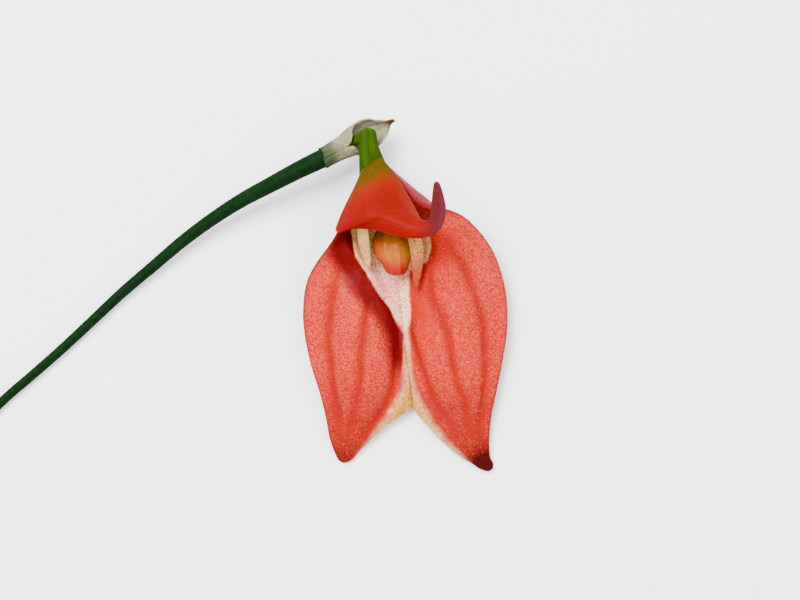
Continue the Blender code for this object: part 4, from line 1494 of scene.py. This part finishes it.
HOOD_SKIN = TissueFinish(
    "Orange red hood skin", (0.135, 0.001, 0.001), (0.155, 0.003, 0.001), 0.4,
    layers=(
        Layer("orange", (0.145, 0.010, 0.001), None, 0.0, 0.3),
        Layer("green", (0.040, 0.030, 0.001), None, 0.0, 0.3),
        Layer("tail", (0.056, 0.007, 0.009), (0.085, 0.012, 0.014), 0.4),
        # Painted reflection of cool light on the tail's right side.
        Layer("purple", (0.075, 0.012, 0.020), None, 0.0, 0.3),
        # Painted highlight along the hood's left edge.
        Layer("pinkline", (0.22, 0.035, 0.025)),
        Layer("back", (0.15, 0.020, 0.003)),
    ),
    fibre=0.2, fibre_colour=(0.175, 0.006, 0.001), across=26.0, along=2.5, bump=0.03, mottle=0.08,
    shine=0.03, coat=0.0,
)
LIP_SKIN = TissueFinish(
    "Orange lip skin", (0.30, 0.074, 0.001), (0.34, 0.105, 0.003), 0.5,
    layers=(
        Layer("yellow", (0.27, 0.11, 0.001)),
        Layer("red", (0.28, 0.001, 0.001), (0.31, 0.006, 0.001), 0.4, 0.4),
    ),
    fibre=0.2, fibre_colour=(0.22, 0.015, 0.002), across=28.0, along=5.0, coat=0.22,
)
LEFT_PETAL_SKIN = TissueFinish(
    "Cream petal skin", (0.66, 0.46, 0.12), (0.74, 0.58, 0.24), 0.4,
    layers=(Layer("tan", (0.50, 0.27, 0.09), (0.25, 0.07, 0.025), 0.8, 0.5),), cells=3600.0,
)
RIGHT_PETAL_SKIN = TissueFinish(
    "Speckled petal skin", (0.56, 0.28, 0.07), (0.24, 0.035, 0.010), 0.8,
    layers=(Layer("brown", (0.19, 0.006, 0.002), (0.34, 0.05, 0.016), 0.7, 0.5),), cells=3600.0,
)
COLUMN_SKIN = TissueFinish("Yellow column skin", (0.22, 0.11, 0.006), (0.30, 0.16, 0.02), 0.3)
CAP_SKIN = TissueFinish("Pale cap skin", (0.34, 0.23, 0.07), (0.26, 0.15, 0.03), 0.3)
OVARY_SKIN = TissueFinish(
    "Green ovary skin", (0.0135, 0.040, 0.001), (0.030, 0.052, 0.001), 0.4,
    # The first layer is painted shade in the grooves between the ribs.
    layers=(Layer("groove", (0.0105, 0.031, 0.001)), Layer("warm", (0.052, 0.042, 0.001), None, 0.0, 0.3)),
    fibre=0.3, fibre_colour=(0.042, 0.066, 0.001), across=60.0, along=3.0, bump=0.02, shine=0.02,
    coat=0.0, roughness=0.5,
)
BRACT_SKIN = TissueFinish(
    "Dry sheath paper", (0.145, 0.135, 0.064), (0.265, 0.250, 0.152), 0.7,
    # Dark green painted where the stalk shows through the sheath's thin end: painted shade.
    # The back layer paints the sheath's inside lighter than its front: painted light to lift the shade
    # inside.
    layers=(Layer("back", (0.28, 0.255, 0.165)), Layer("worn", (0.012, 0.028, 0.010), None, 0.0, 0.7),
            Layer("tip", (0.08, 0.018, 0.003), None, 0.0, 0.5)),
    fibre=0.5, fibre_colour=(0.055, 0.050, 0.023), across=36.0, along=4.0,
    roughness=0.75, coat=0.0, subsurface=0.05, bump=0.04,
)
SCAPE_SKIN = TissueFinish(
    "Dark stalk skin", (0.001, 0.0085, 0.001), (0.002, 0.016, 0.003), 0.5, cells=1600.0,
    roughness=0.55, subsurface=0.0, bump=0.03, shine=0.04, coat=0.0,
)
BEAD_SKIN = TissueFinish(
    "Coral bead skin", (0.46, 0.06, 0.038), (0.60, 0.15, 0.11), 0.6, bump=0.0, subsurface=0.0,
)


def corners(box: Tuple) -> List[List[float]]:
    """Turns a box's two corners into plain lists."""
    return [[float(value) for value in corner] for corner in box]


def main() -> None:
    """Builds the flower and its studio."""
    cells = make_cells()
    fibres = make_fibres()
    sepals = Synsepal(SEPAL_SKIN)
    skin = sepals.build(sepals.finish.make(cells, fibres))
    pieces = (
        Hood("hooded_upper_sepal", Part.HOOD, "dorsal_orange", HOOD_SECTIONS, HOOD_SKIN),
        Lip("lip_tongue", Part.LIP, "lip_orange", LIP_SECTIONS, LIP_SKIN),
        LeftPetal("left_petal_blade", Part.PETAL_LEFT, "petal_cream", PETAL_LEFT_SECTIONS, LEFT_PETAL_SKIN),
        RightPetal(
            "right_petal_blade", Part.PETAL_RIGHT, "petal_cream", PETAL_RIGHT_SECTIONS, RIGHT_PETAL_SKIN
        ),
        Column("column_body", Part.COLUMN, "column_yellow", COLUMN_SECTIONS, COLUMN_SKIN),
        AntherCap(CAP_SKIN),
        Ovary(OVARY_SKIN),
        Bract(BRACT_SKIN),
        Scape(SCAPE_SKIN),
    )
    for piece in pieces:
        piece.build(piece.finish.make(cells, fibres))
    coral = Papillae("coral_beads", "sparkle", BEAD_DENSITY, BEAD_RADIUS, BEAD_SEED, "sepal_coral")
    coral.build(skin, BEAD_SKIN.make(cells, fibres))
    Studio().build()


if __name__ == "__main__":
    main()
